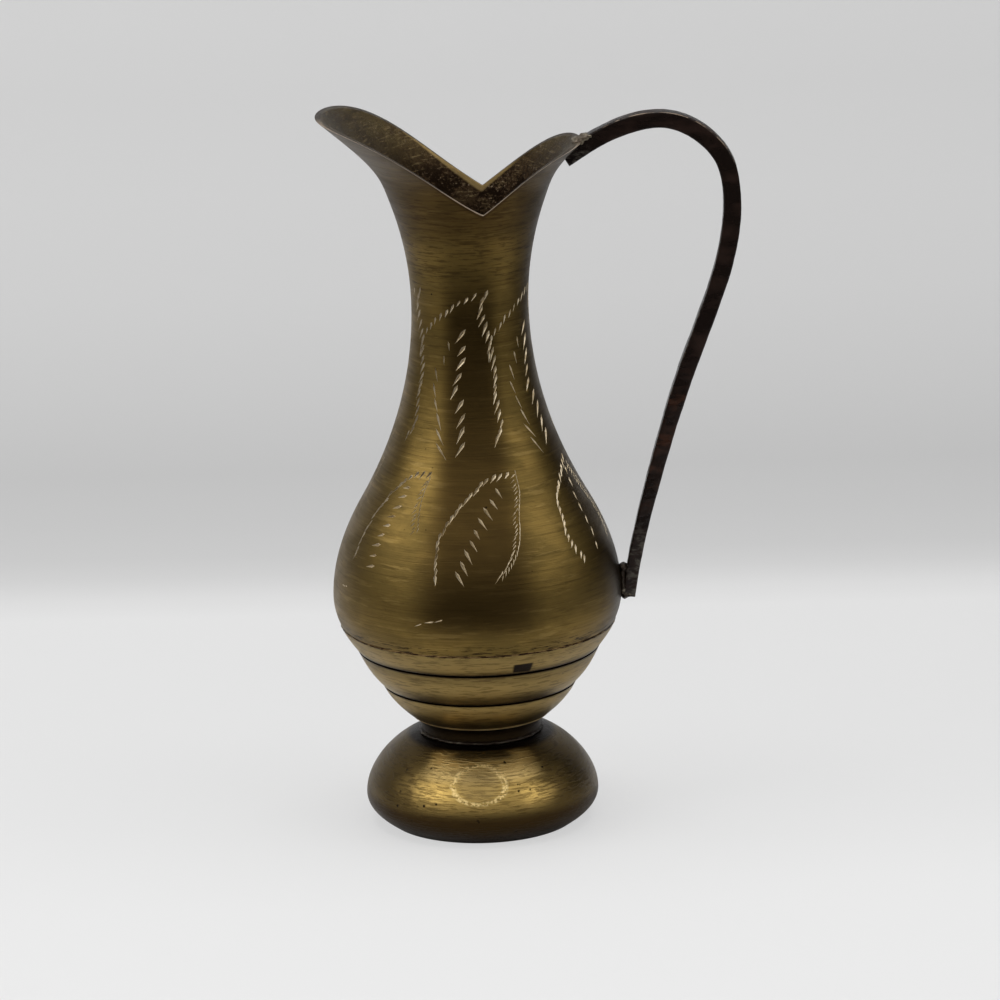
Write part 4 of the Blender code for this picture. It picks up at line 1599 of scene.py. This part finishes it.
# Painted highlight: the edge that faces up and forward is painted pale.
corner = between(forward, -0.35, -0.50) * between(forward, -0.92, -0.82)
corner = corner * between(upward, 0.20, 0.40) * effect(TARNISH, Scale=400.0, Low=0.60, High=0.42)
bar_tone = layered(
    (0.0080, 0.0040, 0.0026),
    (cloud, (0.019, 0.0080, 0.0045)),
    (red_run * rust, (0.055, 0.022, 0.012)),
    (flux, (0.075, 0.065, 0.052)),
    (corner * 0.9, (0.26, 0.19, 0.13)),
)
shader.inputs["Specular IOR Level"].default_value = 0.24
coat(shader, bar_tone, cloud * 0.20 + 0.26, noise_value(from_axis(), 900.0, 5.0), 0.00009)

# %% [markdown]
# The solder at the lip is pale and dull, the solder on the foot and at the belly is grey-black
# with a few light spots, and the filed seam keeps the colour of brass. Two tones under one cloud
# are enough for lumps so small. Then the last pieces are handed over to the vase.

# %% Solder
for name, metallic, limits, pale, dark, roughness, pieces in (
    ("pale_solder", 0.5, (0.42, 0.6), (0.23, 0.20, 0.14), (0.08, 0.06, 0.04), 0.38, [lip_braze]),
    (
        "grey_solder", 0.7, (0.30, 0.50), (0.26, 0.23, 0.17), (0.022, 0.014, 0.008), 0.42,
        [foot_ring, belly_braze],
    ),
):
    shader = new_metal(name, metallic, *pieces)
    cloud = effect(TARNISH, Scale=320.0, Low=limits[0], High=limits[1])
    grain = noise_value(from_axis(), 2500.0, 4.0)
    coat(shader, layered(pale, (cloud, dark)), roughness, grain, 0.00004)
shader = new_metal("seam_brass", 1.0, seam_ring)
gaps = effect(SCUFFS, Scale=420.0, Low=0.44, High=0.52)
coat(shader, layered((0.24, 0.155, 0.065), (gaps, (0.026, 0.014, 0.008))), 0.45)
hand_over(foot, "foot")
hand_over(handle, "handle")
hand_over(seam_ring, "belly_seam_braze")
hand_over(lip_braze, "handle_lip_braze")
hand_over(foot_ring, "foot_braze_ring")
hand_over(belly_braze, "handle_belly_braze")

# %% [markdown]
# The vase stood on a pale paper sweep: flat under it, then curved up into a wall. It is made as
# such paper hangs: a flat sheet whose back edge is spun up a quarter turn, and from there pulled
# straight up. With no corner in it, it shows no line behind the vase.

# %% Sweep
SWEEP_FRONT = -0.17
SWEEP_FLAT = 0.16
SWEEP_CURVE = 0.12
SWEEP_TOP = 1.2
SWEEP_HALF = 0.42

bpy.ops.mesh.primitive_plane_add(size=1.0, location=(0.0, 0.0, 0.0))
sweep = bpy.context.active_object
sweep.name = "paper_sweep"
sweep.scale = (2 * SWEEP_HALF, SWEEP_FLAT - SWEEP_FRONT, 1.0)
sweep.location = (0.0, (SWEEP_FLAT + SWEEP_FRONT) / 2, 0.0)
settle(sweep)
bpy.ops.object.mode_set(mode="EDIT")
bpy.ops.mesh.select_all(action="DESELECT")
bpy.ops.object.mode_set(mode="OBJECT")
for edge in sweep.data.edges:
    ends = [sweep.data.vertices[index].co.y for index in edge.vertices]
    edge.select = min(ends) > SWEEP_FLAT - 0.001
bpy.ops.object.mode_set(mode="EDIT")
bpy.context.tool_settings.mesh_select_mode = (False, True, False)
bpy.ops.mesh.spin(
    steps=32, angle=-math.pi / 2, center=(0.0, SWEEP_FLAT, SWEEP_CURVE), axis=(1.0, 0.0, 0.0)
)
bpy.ops.mesh.extrude_region_move(TRANSFORM_OT_translate={"value": (0.0, 0.0, SWEEP_TOP)})
bpy.ops.mesh.select_all(action="SELECT")
bpy.ops.mesh.remove_doubles(threshold=1e-6)
bpy.ops.object.mode_set(mode="OBJECT")
bpy.context.tool_settings.mesh_select_mode = (True, False, False)
smooth(sweep, 30.0)
top, deep = (max(vertex.co[side] for vertex in sweep.data.vertices) for side in (2, 1))
print("sweep rises to", round(top, 2), "and reaches back to", round(deep, 2))

# %% [markdown]
# The picture's background falls off from the front of the sheet to the wall, so the paper's tone
# is a ramp along its run. In the photo the vase has almost no shadow, so what the camera sees is
# mostly a glow of the same tone. From behind the paper is clear, to leave the vase in view.

# %% Paper
PAPER_START, PAPER_END = -0.12, 0.42
# The ramp paints shade into the bend, darkest where the floor turns into the wall.
PAPER_TONES = [
    (-0.10, 0.712), (-0.06, 0.708), (0.0, 0.684), (0.12, 0.676), (0.154, 0.674), (0.170, 0.628),
    (0.184, 0.554), (0.196, 0.514), (0.216, 0.488), (0.2395, 0.468), (0.253, 0.481), (0.273, 0.505),
    (0.313, 0.550), (0.348, 0.574), (0.381, 0.586), (0.40, 0.610),
]
GLOW_STRENGTH = 1.17
GLOW_SHARE = 0.7


def either(share, first, second):
    """A mix of two shaders."""
    return node("MixShader", (share, first, second)).outputs[0]


def one_sided(surface):
    """Makes a sheet clear from behind, for a camera that looks from there."""
    behind = node("NewGeometry").outputs["Backfacing"]
    sheet = either(behind, surface, node("BsdfTransparent").outputs[0])
    feed(tree.nodes["Material Output"].inputs["Surface"], sheet)


shader = new_metal("paper", 0.0, sweep)
_, run, rise = parts(object_place())
along = node("MapRange", {"Value": run + rise, "From Min": PAPER_START, "From Max": PAPER_END})
ramp = node("ValToRGB", [along.outputs["Result"]])
stops = ramp.color_ramp.elements
while len(stops) < len(PAPER_TONES):
    stops.new(0.5)
for stop, (place, tone) in zip(stops, PAPER_TONES):
    stop.position = (place - PAPER_START) / (PAPER_END - PAPER_START)
    stop.color = (tone, tone, tone, 1.0)
paper_tone = ramp.outputs["Color"]
coat(shader, paper_tone, 0.9)
glow = node("Emission", {"Color": paper_tone, "Strength": GLOW_STRENGTH})
seen = Value(node("LightPath").outputs["Is Camera Ray"]) * GLOW_SHARE
one_sided(either(seen, shader.outputs[0], glow.outputs[0]))

# %% [markdown]
# Soft boxes hang above, in front and at both sides. Brass shows its surroundings more than its
# own colour, so the boxes are made and placed by what is seen in the metal: pale bands along the
# sides, a dark front, and a bright crest on the foot.

# %% Lamps
for name, place, aim, width, depth, power in (
    ("overhead_box", (0.0, 0.05, 1.2), (0.0, 0.05, 0.0), 1.0, 0.8, 11.5),
    ("front_box", (0.0, -0.90, 0.90), (0.0, 0.0, 0.05), 1.6, 0.80, 3.8),
    ("left_box", (-0.95, -0.30, 0.62), (0.0, 0.0, 0.08), 1.0, 0.6, 4.8),
    ("right_box", (0.95, -0.30, 0.62), (0.0, 0.0, 0.08), 1.0, 0.6, 3.4),
):
    lamp_data = bpy.data.lights.new(name, "AREA")
    lamp_data.shape = "RECTANGLE"
    lamp_data.size, lamp_data.size_y = width, depth
    lamp_data.energy = power
    lamp = link(name, lamp_data)
    lamp.location = place
    lamp.rotation_euler = (Vector(aim) - Vector(place)).to_track_quat("-Z", "Y").to_euler()
    print(name, width, "by", depth, "m,", power, "W")

# %% [markdown]
# A dark board stands on the right, out of the picture. It gives the brass a dark edge on that
# side, as a real studio does with black card, and no lamp could do that.

# %% Dark board
turn = (0.0, -math.pi / 2, 0.0)
bpy.ops.mesh.primitive_plane_add(size=1.0, location=(0.23, 0.12, 0.2), rotation=turn)
board = bpy.context.active_object
board.name = "dark_board"
board.scale = (0.4, 0.26, 1.0)
settle(board)
shader = new_metal("felt", 0.0, board)
fuzz = noise_value(object_place(), 400.0, 2.0)
felt_tone = layered((0.02, 0.02, 0.02), (fuzz, (0.035, 0.035, 0.035)))
feed(shader.inputs["Base Color"], felt_tone)
one_sided(shader.outputs[0])

# %% [markdown]
# Beyond the lamps the room is dim and even. It only keeps the shadows from going quite black.
# The Standard view shows colours as they are, so that they can be set against the photo's.

# %% Room
ROOM_LIGHT = 0.09
room = bpy.data.worlds.new("room")
bpy.context.scene.world = room
room.use_nodes = True
background = room.node_tree.nodes["Background"]
background.inputs["Color"].default_value = (ROOM_LIGHT, ROOM_LIGHT, ROOM_LIGHT, 1.0)
bpy.context.scene.view_settings.view_transform = "Standard"
print("room light", ROOM_LIGHT)
